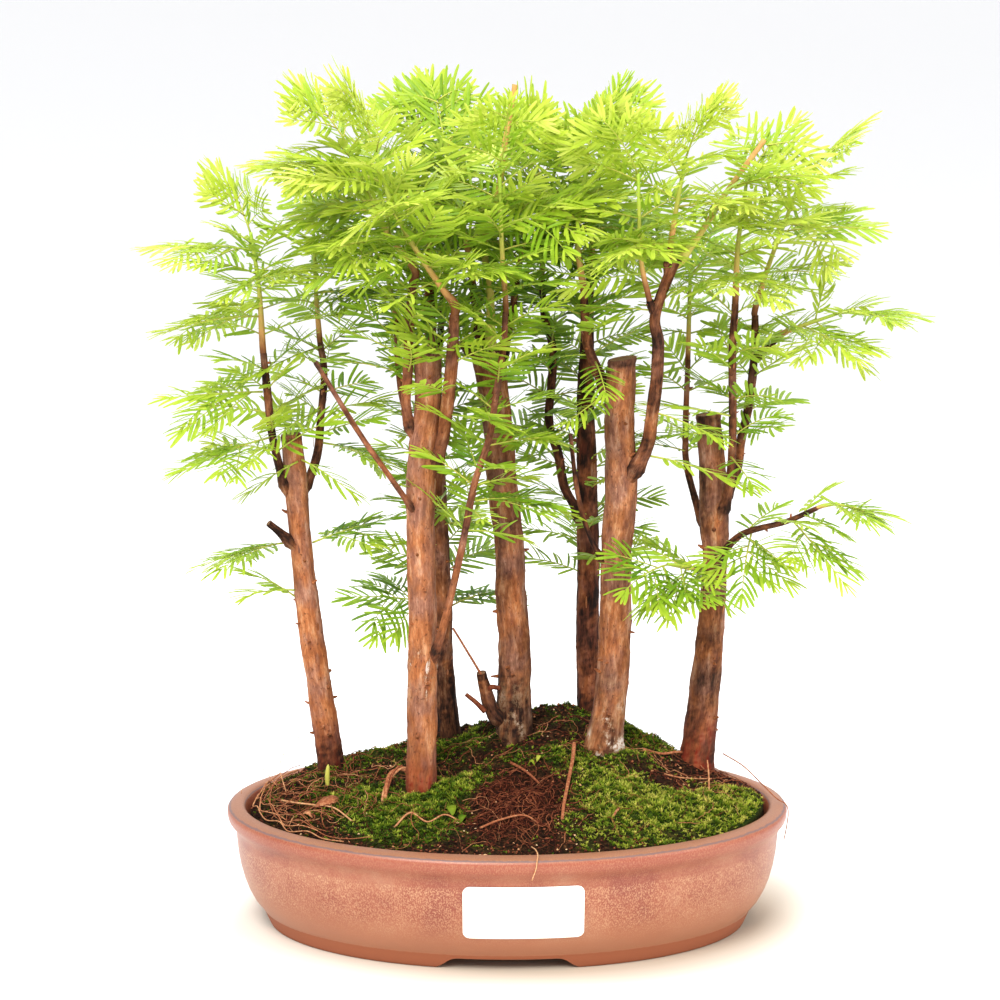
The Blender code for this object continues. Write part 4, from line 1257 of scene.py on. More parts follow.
    @staticmethod
    def add_root(
        draft: Draft, line: Sequence[Place], radius: float, tone: float, sides: int = 4, thin: float = 0.35
    ) -> None:
        """Adds a root or stick that thins to its end.

        Args:
            draft: The piece that it goes into.
            line: Its points.
            radius: Its radius where it begins.
            tone: Its tone.
            sides: Vertices a ring.
            thin: The share of its radius left at its end.
        """
        rows = [(*point, radius * (1 - (1 - thin) * i / (len(line) - 1))) for i, point in enumerate(line)]
        points, faces, _ = sweep(smooth_line(rows, 1.9 if sides == 4 else 1.2), sides)
        draft.add(points, faces, (tone, 0.0, 0.0))

    def build_crumbs(self) -> Draft:
        """Loose crumbs and chips of compost, mostly dark, with a few pale ones.

        Returns:
            Their draft.
        """
        draw = random.Random("crumbs")
        wide, deep = self.crumb_reach
        points, tones, faces = [], [], []
        while len(faces) < 8 * self.crumbs:
            x, y = draw.uniform(-wide, wide), draw.uniform(-deep, deep)
            moss, _, _ = self.cover(x, y)
            if not self.open_ground(x, y, 0.5) or draw.random() < 1.3 * moss - 0.1:
                continue
            long = draw.choice((1.0, 1.0, 1.3, 2.6))
            size = draw.uniform(0.4, 1.15) / math.sqrt(long)
            turn = Matrix.Rotation(draw.uniform(0, math.tau), 3, "Z")
            turn = turn @ Matrix.Rotation(draw.gauss(0, 0.35), 3, "Y")
            middle = Vector((x, y, self.surface(x, y) + 0.25 * size))
            first = len(points)
            for corner in ((long, 0, 0), (0, 0.8, 0), (-long, 0, 0), (0, -0.8, 0), (0, 0, 0.7), (0, 0, -0.7)):
                chipped = Vector([size * value * draw.uniform(0.7, 1.25) for value in corner])
                points.append(middle + turn @ chipped)
            kind = draw.random()
            dark, pale = (-0.1, 0.1) if kind < 0.72 else (0.1, 0.45) if kind < 0.975 else (0.6, 0.95)
            tones += [(draw.uniform(dark, pale), 0.0, 0.0)] * 6
            for k in range(4):
                a, b = first + k, first + (k + 1) % 4
                faces += [(a, b, first + 4, NO_CORNER), (b, a, first + 5, NO_CORNER)]
        return Draft().add(points, faces, tones)

    def build_litter(self) -> Draft:
        """The dead leaf, the leaflets and the green shoot at the left.

        Returns:
            Their draft.
        """
        draft = Draft()
        draw = random.Random("litter")
        foot = Vector((*self.shoot_foot, self.surface(*self.shoot_foot) - 1.0))
        rows = [(foot.x + aside, foot.y, foot.z + up, radius) for aside, up, radius in SHOOT_ROWS]
        points, faces, _ = sweep(smooth_line(rows, 0.8), 10)
        draft.add(points, faces, (0.66, 0.0, 0.0), None, 1)
        for x, y, heading, size, tone, slot in LEAFLETS:
            base = Vector((x, y, self.surface(x, y) + 1.2))
            way = Vector((math.cos(math.radians(heading)), math.sin(math.radians(heading)), 0.12))
            places, overs, widths = [], [], []
            for step in range(9):
                share = step / 8
                places.append(base + way * (size * (share - 0.5)) + UP * (2.4 * math.sin(math.pi * share)))
                overs.append(Vector((0.3 * draw.uniform(-1, 1), -0.35, 1.0)).normalized())
                widths.append(0.3 + size * 0.42 * math.sin(math.pi * min(1.0, share * 1.05)) ** 0.8)
            add_ribbon(draft, places, overs, widths, 0.35, (tone, 0.0, 0.0), slot)
        return draft

    def dress(self) -> None:
        """Makes the mound's pieces."""
        moss = MOSS.material()
        root = ROOT.material()
        make_piece(self.build_ground(), "mossy_compost", [EARTH.material()], ["soil"])
        for side, name in ((-1, "moss_tufts_left"), (1, "moss_tufts_right")):
            make_piece(self.build_moss(side), name, [moss])
        make_piece(self.build_crumbs(), "compost_crumbs", [root], (), 20.0)
        make_piece(self.build_roots(), "surface_roots", [root])
        make_piece(self.build_litter(), "leaf_litter", [root, SHOOT.material(), moss])


@dataclass(frozen=True)
class Spray:
    """A flat spray of needles: where along its stem it grows, which way it points and its length."""

    at: float
    heading: float
    rise: float
    length: float


@dataclass(frozen=True)
class Stem:
    """A woody stem of (x, y, z, radius) points, the green shoot that goes on from it, and their sprays."""

    name: str
    wood: Line
    green: Line = ()
    sprays: tuple[Spray, ...] = ()
    side_sprays: tuple[Spray, ...] = ()


# Each tree is its trunk, which starts in the soil, and the stems that grow from it.
TREES = {
    "tree_1": (
        Stem("trunk_1",
             ((-92, 25, 42, 7.0), (-96.5, 25, 82, 7.2), (-101, 25, 115, 6.8), (-107, 23, 162, 6.4),
              (-111, 21, 207, 5.8), (-113, 20, 240, 6.1), (-115, 20, 261, 5.3)),
             side_sprays=(Spray(0.735, 182, -6, 46), Spray(0.72, 12, 20, 48))),
        Stem("stem_1_left",
             ((-116, 19, 226, 2.6), (-120, 16, 240, 2.4), (-124, 11, 262, 2.1), (-126, 10, 284, 2.1),
              (-128, 12, 305, 1.8)),
             ((-130, 14, 340, 1.2), (-134, 16, 368, 0.9)),
             (Spray(1.0, 140, 66, 46), Spray(0.85, 186, 10, 56), Spray(0.6, 285, 15, 46),
              Spray(0.3, 200, 4, 52)),
             (Spray(0.75, 172, -2, 50), Spray(0.45, 214, -8, 48))),
        Stem("stem_1_right",
             ((-109, 24, 228, 2.6), (-102, 29, 248, 2.4), (-100, 34, 268, 2.1), (-98, 36, 291, 1.9),
              (-100, 37, 308, 1.6)),
             ((-102, 39, 335, 1.2), (-103, 40, 366, 0.9)),
             (Spray(1.0, 60, 68, 44), Spray(0.7, 70, 20, 46), Spray(0.45, 335, 8, 44)),
             (Spray(0.35, 350, -6, 44),)),
        Stem("stub_1",
             ((-111, 20, 197, 3.0), (-120, 17, 207, 2.4), (-127, 14, 214, 1.8))),
    ),
    "tree_2": (
        Stem("trunk_2",
             ((-46, -11, 42, 8.0), (-45.5, -11, 84, 8.2), (-45, -11, 121, 7.8), (-44.5, -12, 160, 7.5),
              (-45, -13.5, 205, 7.3), (-45, -14, 244, 7.6), (-41, -15, 279, 7.1), (-41, -15, 311, 7.2))),
        Stem("stem_2_right",
             ((-41, -14, 240, 3.6), (-34, -19, 262, 3.3), (-31, -22, 281, 3.3), (-28, -24, 309, 3.2),
              (-27, -26, 329, 2.4)),
             ((-34, -29, 344, 1.6), (-50, -34, 369, 1.3), (-60, -36, 391, 1.1), (-66, -38, 414, 0.8)),
             (Spray(1.0, 215, 66, 44), Spray(0.8, 165, 22, 50), Spray(0.6, 262, 18, 50),
              Spray(0.3, 330, 6, 50))),
        Stem("stem_2_left",
             ((-46, -14, 258, 3.0), (-52, -17, 279, 2.6), (-51, -19, 299, 2.6), (-50, -18, 325, 2.5),
              (-48, -16, 347, 2.0)),
             ((-62, -14, 371, 1.4), (-74, -11, 396, 1.1), (-81, -10, 414, 0.8)),
             (Spray(1.0, 165, 58, 48), Spray(0.8, 192, 14, 54), Spray(0.5, 140, 12, 48),
              Spray(0.3, 228, 2, 48))),
        Stem("stem_2_outer",
             ((-49, -9, 266, 1.8), (-55, -4, 284, 1.4), (-57, 0, 303, 1.4), (-58, 4, 323, 1.3)),
             ((-64, 10, 352, 1.0),),
             (Spray(1.0, 150, 34, 46),)),
        Stem("twig_2",
             ((-46, -16, 222, 1.8), (-53, -22, 234, 1.5), (-75, -30, 268, 1.4), (-97, -36, 306, 1.2))),
        Stem("stem_2_low",
             ((-42, -12, 138, 2.6), (-34, -20, 163, 2.1), (-28, -24, 188, 1.9), (-22, -26, 216, 1.9),
              (-17, -27, 242, 1.8), (-9, -27, 267, 1.8), (-6, -27, 287, 1.8), (-2, -25, 313, 1.6),
              (-1, -23, 330, 1.5)),
             ((-3, -20, 366, 1.2), (-4, -18, 402, 0.9)),
             (Spray(1.0, 290, 62, 46), Spray(0.6, 345, 18, 50)),
             (Spray(0.5, 20, 5, 42),)),
    ),
    "tree_3": (
        Stem("trunk_3",
             ((-30, 58, 55, 6.2), (-33.5, 58, 97, 6.3), (-36, 58, 130, 6.0), (-36, 57, 157, 5.8),
              (-38, 55, 208, 5.5), (-39, 54, 247, 4.9), (-41, 52, 300, 3.6), (-42, 50, 345, 2.2)),
             ((-43, 49, 385, 1.3), (-45, 48, 412, 0.9)),
             (Spray(1.0, 110, 68, 44), Spray(0.6, 178, 18, 50), Spray(0.2, 60, 12, 48)),
             (Spray(0.36, 186, 14, 46), Spray(0.35, 350, 8, 42))),
        Stem("stem_3_back",
             ((-40, 54, 270, 2.6), (-37, 64, 300, 1.9), (-35, 70, 330, 1.5)),
             ((-31, 76, 365, 1.1), (-29, 80, 400, 0.8)),
             (Spray(1.0, 60, 40, 48),)),
    ),
    "tree_4": (
        Stem("trunk_4",
             ((4, 33, 55, 9.2), (4, 33, 99, 9.6), (4, 33, 121, 9.2), (4, 33, 147, 8.7), (2, 32, 173, 8.3),
              (1, 31, 199, 7.9), (-3, 30, 237, 8.2), (-5, 30, 265, 8.0), (-9, 30, 293, 8.4),
              (-11, 30, 307, 8.0))),
        Stem("knob_4",
             ((-9, 29, 296, 4.6), (-23, 26, 310, 3.4))),
        Stem("stem_4_left",
             ((-12, 31, 298, 3.4), (-16, 32, 323, 2.4), (-19, 33, 345, 1.8)),
             ((-25, 35, 380, 1.3), (-33, 37, 410, 0.9)),
             (Spray(1.0, 110, 72, 46), Spray(0.55, 80, 14, 48))),
        Stem("stem_4_tall",
             ((-9, 27, 298, 3.4), (-9, 22, 337, 2.1), (-12, 20, 362, 1.7), (-5, 18, 388, 1.6),
              (-1, 17, 415, 1.5), (4, 16, 444, 1.3)),
             side_sprays=(Spray(0.8, 5, 22, 48), Spray(0.55, 262, 14, 48))),
        Stem("stem_4_right",
             ((-6, 32, 288, 3.4), (2, 37, 320, 2.1), (5, 39, 341, 1.8)),
             ((9, 40, 362, 1.4), (14, 42, 398, 0.9)),
             (Spray(1.0, 50, 62, 46), Spray(0.65, 358, 14, 50), Spray(0.3, 320, 4, 48))),
        Stem("stump_4",
             ((0, 31, 96, 3.8), (-8, 27, 108, 3.8), (-12, 24, 121, 3.4), (-14, 22, 130, 2.6))),
    ),
    "tree_5": (
        Stem("trunk_5",
             ((47, 64, 62, 6.8), (46, 64, 107, 6.8), (45, 62, 157, 6.4), (45, 61, 188, 6.1),
              (44, 60, 233, 5.7), (43, 60, 274, 4.8), (44, 60, 312, 3.2), (45, 60, 340, 2.2)),
             ((48, 60, 382, 1.3), (50, 60, 410, 0.9)),
             (Spray(1.0, 60, 64, 44), Spray(0.6, 95, 15, 48), Spray(0.25, 15, 6, 48))),
        Stem("stem_5_left",
             ((43, 60, 200, 3.2), (37, 54, 216, 2.6), (31, 52, 228, 2.5), (28, 52, 245, 2.5),
              (23, 52, 264, 2.4), (25, 53, 300, 2.2), (20, 54, 321, 2.0), (19, 56, 340, 1.6)),
             ((22, 62, 378, 1.2), (27, 65, 404, 0.9)),
             (Spray(1.0, 130, 60, 44), Spray(0.5, 335, 10, 46))),
    ),
    "tree_6": (
        Stem("trunk_6",
             ((49, 12, 50, 9.0), (52.5, 12, 94, 9.4), (55, 12, 112, 8.9), (57, 11, 139, 8.6),
              (58, 10, 169, 8.4), (58, 9, 198, 8.2), (60, 8, 227, 8.5), (60, 8, 249, 8.2),
              (59, 7, 270, 7.9), (60, 6, 303, 7.4))),
        Stem("stem_6_left",
             ((55, 8, 280, 3.6), (44, 10, 304, 2.7), (41, 8, 319, 2.6), (40, 6, 334, 2.0)),
             ((36, 2, 370, 1.3), (41, -1, 404, 0.9)),
             (Spray(1.0, 275, 62, 46), Spray(0.5, 290, 4, 48))),
        Stem("stem_6_right",
             ((62, 5, 235, 4.2), (73, 0, 257, 3.8), (75, -4, 272, 3.4), (77, -6, 289, 3.4),
              (78, -8, 312, 3.1), (76, -10, 327, 2.8), (84, -12, 351, 2.8), (88, -12, 358, 2.6))),
        Stem("twig_6_cut",
             ((82, -12, 347, 2.4), (99, -8, 369, 1.6), (112, -2, 389, 1.4), (132, 4, 416, 1.3)),
             side_sprays=(Spray(0.65, 330, 18, 46),)),
        Stem("stem_6_up",
             ((81, -12, 345, 2.0), (83, -15, 362, 1.6)),
             ((86, -17, 384, 1.2), (90, -19, 408, 0.9)),
             (Spray(1.0, 300, 62, 46), Spray(0.45, 345, 10, 48))),
        Stem("stem_6_mid",
             ((78, -8, 318, 2.2), (73, -12, 335, 1.6)),
             ((68, -15, 358, 1.2), (66, -21, 400, 0.9)),
             (Spray(1.0, 245, 56, 46), Spray(0.45, 262, 4, 48))),
        Stem("twig_6_thin",
             ((54, 7, 190, 1.8), (44, 4, 208, 1.4), (37, 2, 232, 1.3), (33, 0, 264, 1.1)),
             side_sprays=(Spray(0.9, 200, 25, 40),)),
    ),
    "tree_7": (
        Stem("trunk_7",
             ((101, 27, 44, 8.6), (104.5, 27, 88, 9.0), (106, 27, 105, 8.6), (109, 26, 135, 7.9),
              (111, 26, 165, 7.1), (112, 25, 195, 6.8), (111, 25, 217, 8.0), (110, 24, 239, 7.2),
              (107, 24, 271, 6.4))),
        Stem("stem_7_near",
             ((112, 22, 210, 3.0), (117, 16, 226, 2.5), (119, 14, 248, 2.2), (119, 12, 270, 2.1),
              (118, 10, 305, 2.1), (119, 10, 331, 1.8)),
             ((120, 10, 362, 1.3), (124, 10, 396, 0.9)),
             (Spray(1.0, 30, 58, 46), Spray(0.6, 310, 10, 48), Spray(0.25, 260, 0, 46))),
        Stem("stem_7_far",
             ((113, 26, 214, 3.0), (124, 34, 240, 2.5), (126, 38, 254, 2.4), (130, 40, 273, 2.4),
              (133, 42, 302, 2.2), (133, 42, 322, 1.8)),
             ((140, 41, 350, 1.3), (149, 39, 376, 1.1), (156, 38, 396, 0.9)),
             (Spray(1.0, 5, 46, 48), Spray(0.6, 345, 10, 48), Spray(0.3, 40, 4, 48))),
        Stem("stem_7_left",
             ((106, 31, 208, 2.2), (98, 44, 238, 1.8), (97, 48, 257, 1.7), (98, 52, 297, 1.5)),
             ((99, 56, 345, 0.9),),
             (Spray(1.0, 110, 35, 46),)),
        Stem("stem_7_right",
             ((131, 41, 296, 2.2), (145, 35, 311, 1.5)),
             ((158, 30, 318, 1.1), (176, 25, 325, 0.8)),
             (Spray(1.0, 352, 6, 44), Spray(0.4, 300, -8, 44))),
        Stem("stem_7_low",
             ((110, 22, 188, 2.8), (123, 4, 209, 1.8), (146, -4, 218, 1.5), (162, -8, 226, 1.2)),
             ((172, -11, 229, 0.9),),
             (Spray(1.0, 350, -8, 26),),
             (Spray(0.8, 300, -26, 40), Spray(0.5, 255, -24, 40))),
        Stem("stem_7_front",
             ((110, 20, 184, 2.2), (99, 4, 191, 1.4)),
             ((84, -7, 196, 0.9),),
             (Spray(1.0, 190, -4, 40), Spray(0.3, 252, -18, 40))),
    ),
}


def along(points: Sequence[Sequence[float]], share: float) -> tuple[Vector, Vector, float]:
    """The place, direction and radius at a share of the length of a line.

    Args:
        points: The line's points with their radii.
        share: How far along it, from 0 to 1.

    Returns:
        The place, the way the line runs there and its radius.
    """
    places = [Vector(point[:3]) for point in points]
    lengths = [(b - a).length for a, b in zip(places, places[1:])]
    left = share * sum(lengths)
    index = 0
    while left > lengths[index] and index < len(lengths) - 1:
        left -= lengths[index]
        index += 1
    part = min(1.0, left / lengths[index])
    radius = points[index][3] + (points[index + 1][3] - points[index][3]) * part
    here, after = places[index], places[index + 1]
    return here.lerp(after, part), (after - here).normalized(), radius


def direction(heading: float, rise: float) -> Vector:
    """The unit vector of a heading and a rise in degrees."""
    heading, rise = math.radians(heading), math.radians(rise)
    return Vector((math.cos(heading) * math.cos(rise), math.sin(heading) * math.cos(rise), math.sin(rise)))


def squared(side: Vector, way: Vector) -> Vector:
    """The unit vector nearest to side that stands square to way."""
    return (side - way * side.dot(way)).normalized()


def upright_face(way: Vector) -> Vector:
    """The flat side of a feather that runs along way: as level as it can be."""
    return squared(UP if abs(way.z) < 0.8 else Vector((way.x, way.y, 0.01)).normalized(), way)


@dataclass(frozen=True)
class BarkLook:
    """How one tree's bark differs: dark, bloomed and red, all over, and up to a height over the soil.

    Its trunk may be cut at a slope, and its bark may peel between two heights, in so many flakes.
    """

    dark: float = 0.1
    bloom: float = 0.0
    red: float = 0.0
    foot_dark: float = 0.5
    foot_bloom: float = 0.0
    foot_red: float = 0.0
    foot: float = 16.0
    limb_dark: float = 0.4
    limb_red: float = 0.15
    flare: float = 0.12
    oblique: float = 0.0
    flaking: tuple[float, float, int] = (0.0, 0.0, 0)


@dataclass(frozen=True)
class Leafage:
    """How thick one tree's leaves are: how far apart its feather pairs are, and where they start."""

    step: float = 7.5
    wood_step: float = 12.0
    wood_from: float = 0.5
    more: int = 5


@dataclass
class Wood:
    """One tree's trunk, limbs and stubs, with their flares, cut ends, spurs and flakes."""

    name: str
    stems: tuple[Stem, ...]
    look: BarkLook
    soil: float
    step: float = 1.5
    spurs: int = 15
    spurs_from: float = 14.0
    flakes: int = 12
    flakes_from: float = 6.0
    sharp: float = 62.0
    tan_shoots: tuple[str, ...] = ("stem_4_tall", "twig_6_cut")

    def build(self) -> Draft:
        """Sweeps every stem and adds what sits on its bark.

        Returns:
            The tree's draft.
        """
        draft = Draft()
        lines: list[np.ndarray] = []
        for index, stem in enumerate(self.stems):
            line = smooth_line(stem.wood, self.step)
            widest = max(row[3] for row in stem.wood)
            sides = 30 if widest > 5.0 else 18 if widest > 2.2 else 12
            seed = float(sum(ord(letter) for letter in stem.name))
            leave = self.leaving_run(line, lines)
            cut = not stem.green
            points, faces, grain = sweep(line, sides, self.relief(line, seed, leave, cut), cut)
            total = float(np.linalg.norm(np.diff(line[:, :3], axis=0), axis=1).sum())
            if index == 0 and self.look.oblique:
                high = points[:, 2] - (line[-1, 2] - 12.0)
                slope = self.look.oblique * (points[:, 0] - line[-1, 0])
                points[:, 2] += np.clip(high / 12.0, 0.0, 1.0) * slope
            left = total - grain[:, 2] if cut else np.full(len(points), 99.0)
            tones = [
                self.stain(*point, seed, run, end, leave)
                for point, run, end in zip(points, grain[:, 2], left)
            ]
            lines.append(line)
            if stem.name in self.tan_shoots:
                tan = np.zeros((len(points), 3))
                tan[:, 0] = 0.64 - 0.24 * (grain[:, 2] / total)
                draft.add(points, faces, tan, grain, 2)
                continue
            kept = faces
            if cut:
                kept = np.concatenate([faces[: -4 * sides], faces[-2 * sides : -sides]])
                sawn = np.concatenate([faces[-4 * sides : -2 * sides], faces[-sides:]])
                draft.add(points, sawn, tones, grain, 1)
            draft.add(points, kept, tones, grain)
            draw = random.Random(f"bark_{stem.name}")
            if stem.green or index == 0:
                self.add_spurs(draft, stem, draw, index == 0)
                self.add_flakes(draft, stem, draw, index == 0)
        return draft

    def leaving_run(self, line: np.ndarray, lines: list[np.ndarray]) -> float:
        """How far along its line a limb comes out of the stem that it grows from.

        Args:
            line: The limb's rows.
            lines: The rows of the stems before it.

        Returns:
            The run in millimetres, or -1 for the trunk.
        """
        if not lines:
            return -1.0
        parent = min(lines, key=lambda rows: np.linalg.norm(rows[:, :3] - line[0, :3], axis=1).min())
        run = 0.0
        for before, row in zip(line, line[1:]):
            run += float(np.linalg.norm(row[:3] - before[:3]))
            gaps = np.linalg.norm(parent[:, :3] - row[:3], axis=1)
            nearest = int(gaps.argmin())
            if gaps[nearest] > parent[nearest, 3]:
                return run
        return 0.0

    def relief(
        self, line: np.ndarray, seed: float, leave: float, cut: bool
    ) -> Callable[[float, float, float], float]:
        """The radius factor of one stem.

        Args:
            line: The stem's rows.
            seed: What sets its noise apart from the other stems'.
            leave: The run at which a limb leaves its parent, or -1 for a trunk.
            cut: Whether it ends in a saw cut, with a rolled lip of bark under it.

        Returns:
            A function of the angle, the run along the stem and the radius.
        """
        runs = np.concatenate(([0.0], np.cumsum(np.linalg.norm(np.diff(line[:, :3], axis=0), axis=1))))
        total = float(runs[-1])

        def factor(angle: float, run: float, radius: float) -> float:
            """The radius factor at one place.

            Args:
                angle: Round the stem.
                run: Along it.
                radius: Its radius there.

            Returns:
                The factor.
            """
            x, y = math.cos(angle) * radius, math.sin(angle) * radius
            made = 1.0
            # Ridges, swellings and, on thin stems only, fine cords.
            for most, wide, tall, shift, thickest in (
                (0.05, 1.9, 7.0, seed, math.inf), (0.08, 7.0, 14.0, 2 * seed, math.inf),
                (0.09, 0.9, 10.0, -seed, 4.6),
            ):
                if radius < thickest:
                    made += most * noise.noise(Vector((x / wide, y / wide, run / tall + shift)))
            joint = (run + seed) % 17.0 - 8.0 - 1.2 * math.cos(angle + seed)
            made += 0.03 * math.exp(-(joint / 0.9) ** 2)
            if cut:
                ragged = 1.0 + 0.8 * noise.noise(Vector((2.2 * math.cos(angle), 2.2 * math.sin(angle), seed)))
                made += 0.07 * ragged * math.exp(-(((total - run - 1.4) / 1.3) ** 2))
            if leave >= 0:
                rise = run - leave
                knuckle = 0.34 * math.exp(-(((rise - 0.5) / 4.2) ** 2))
                cracked = 0.07 * math.sin(2.4 * rise + 1.5 * math.cos(angle)) * math.exp(-abs(rise) / 3.5)
                return (made + knuckle + cracked) * (0.4 + 0.6 * min(1.0, run / max(leave, 5.0)) ** 0.6)
            height = float(np.interp(run, runs, line[:, 2])) - self.soil
            flare = self.look.flare * math.exp(-max(0.0, height) / 6.0)
            return made + flare * (1 + 0.5 * math.cos(3 * angle + seed))

        return factor

    def stain(
        self, x: float, y: float, z: float, seed: float, run: float, left: float, leave: float
    ) -> tuple[float, float, float]:
        """How dark, bloomed and red the bark is at a place.

        Args:
            x: To the right.
            y: To the back.
            z: Up.
            seed: What sets its noise apart.
            run: How far along its stem it lies.
            left: How far it lies from a cut end.
            leave: The run at which a limb leaves its parent, or -1 for a trunk.

        Returns:
            The tone attribute's red, green and blue.
        """
        look = self.look
        near = min(1.0, max(0.0, 1.0 - (z - self.soil) / look.foot)) ** 0.8
        cloud, fine, streaky = (
            noise.noise(Vector((x / wide, y / wide, z / tall + shift)))
            for wide, tall, shift in ((9.0, 15.0, seed), (2.6, 2.0, seed), (5.0, 11.0, -seed))
        )
        dark = look.dark * (1 + 1.1 * cloud + 0.5 * fine)
        red = look.red * (1 + cloud)
        bloom = look.bloom * (1 + 1.4 * cloud)
        if leave >= 0:
            dark = look.limb_dark * (1 + 0.7 * cloud + 0.4 * fine)
            dark += 0.4 * (1 + fine) * math.exp(-(((run - leave - 1.5) / 2.2) ** 2))
            red = look.limb_red * (1 + cloud)
        else:
            dark += look.foot_dark * near * (1 + 0.6 * fine)
            bloom += look.foot_bloom * near * max(0.0, 0.75 + 2.4 * streaky)
            red += look.foot_red * near * (1 + 0.8 * fine)
        dark += 0.75 * math.exp(-(((left - 2.3 + 0.8 * fine) / 0.8) ** 2)) + 0.3 * math.exp(-left / 2.0)
        low, high, _ = self.look.flaking
        if low < z < high and leave < 0:
            bloom += 0.55 * math.sin(math.pi * (z - low) / (high - low)) * max(0.0, 0.6 + 1.8 * cloud + fine)
        return tuple(min(1.0, max(0.0, value)) for value in (dark, bloom, red))

    @staticmethod
    def on_bark(
        stem: Stem, draw: random.Random, low: float, high: float
    ) -> tuple[Vector, Vector, Vector]:
        """A random place on the bark between two shares of a stem's length.

        Args:
            stem: The stem.
            draw: The source of the place.
            low: The lower share.
            high: The upper share.

        Returns:
            The place, the way out from the stem's axis and the way along it.
        """
        place, way, radius = along(stem.wood, draw.uniform(low, high))
        out = squared(direction(draw.uniform(0.0, 360.0), 0.0), way)
        return place + out * radius * 0.97, out, way

    def add_spurs(self, draft: Draft, stem: Stem, draw: random.Random, trunk: bool) -> None:
        """Adds the short dead twigs and buds that stand off the bark.

        Args:
            draft: The tree's draft.
            stem: The stem they grow from.
            draw: The source of their places.
            trunk: Whether it is the trunk.
        """
        for _ in range(self.spurs if trunk else self.spurs // 4):
            place, out, way = self.on_bark(stem, draw, 0.2, 0.97)
            if trunk and place.z < self.soil + self.spurs_from:
                continue
            reach = draw.uniform(1.2, 4.0) if trunk else draw.uniform(0.8, 2.0)
            lean = (out + way * draw.uniform(-0.1, 0.7)).normalized()
            thick = draw.uniform(0.55, 1.1) * (1.0 if trunk else 0.6)
            rows = [
                (*(place - out * 0.8), thick * 1.5), (*(place + lean * reach * 0.45), thick),
                (*(place + lean * reach), thick * 0.55),
            ]
            points, faces, grain = sweep(np.array(rows), 7)
            draft.add(points, faces, (draw.uniform(0.1, 0.6), 0.0, 0.1), grain)

    def add_flakes(self, draft: Draft, stem: Stem, draw: random.Random, trunk: bool) -> None:
        """Adds the thin strips of bark that peel from the stem.

        Args:
            draft: The tree's draft.
            stem: The stem they peel from.
            draw: The source of their places.
            trunk: Whether it is the trunk.
        """
        low, high, dense = self.look.flaking
        plain = self.flakes if trunk else self.flakes // 4
        for number in range(plain + (dense if trunk else 0)):
            place, out, way = self.on_bark(stem, draw, 0.15, 0.95)
            peeling = number >= plain
            if trunk and place.z < self.soil + self.flakes_from:
                continue
            for _ in range(40 if peeling else 0):
                if low <= place.z <= high:
                    break
                place, out, way = self.on_bark(stem, draw, 0.15, 0.95)
            length = draw.uniform(3.0, 8.0) * (1.0 if trunk else 0.6)
            wide = draw.uniform(0.9, 2.0) if trunk else draw.uniform(0.4, 0.9)
            lift = draw.uniform(0.2, 0.9)
            places = [
                place + way * (length * share) + out * (0.12 + lift * share**2.2)
                for share in (0.0, 0.3, 0.6, 0.85, 1.0)
            ]
            bloom = draw.uniform(0.35, 0.9) if peeling else draw.uniform(0.0, 0.25)
            add_ribbon(
                draft, places, [out] * 5, [wide * 0.5, wide, wide * 0.9, wide * 0.6, 0.15], 0.14,
                (draw.uniform(0.0, 0.35), bloom, 0.05), 0, Vector((2.0, 0.0, place.z)),
            )

    def dress(self) -> None:
        """Makes the tree's piece."""
        finishes = [BARK.material(), CUT_WOOD.material(), SHOOT.material()]
        make_piece(self.build(), "bark_of_" + self.name, finishes, [self.name], self.sharp)


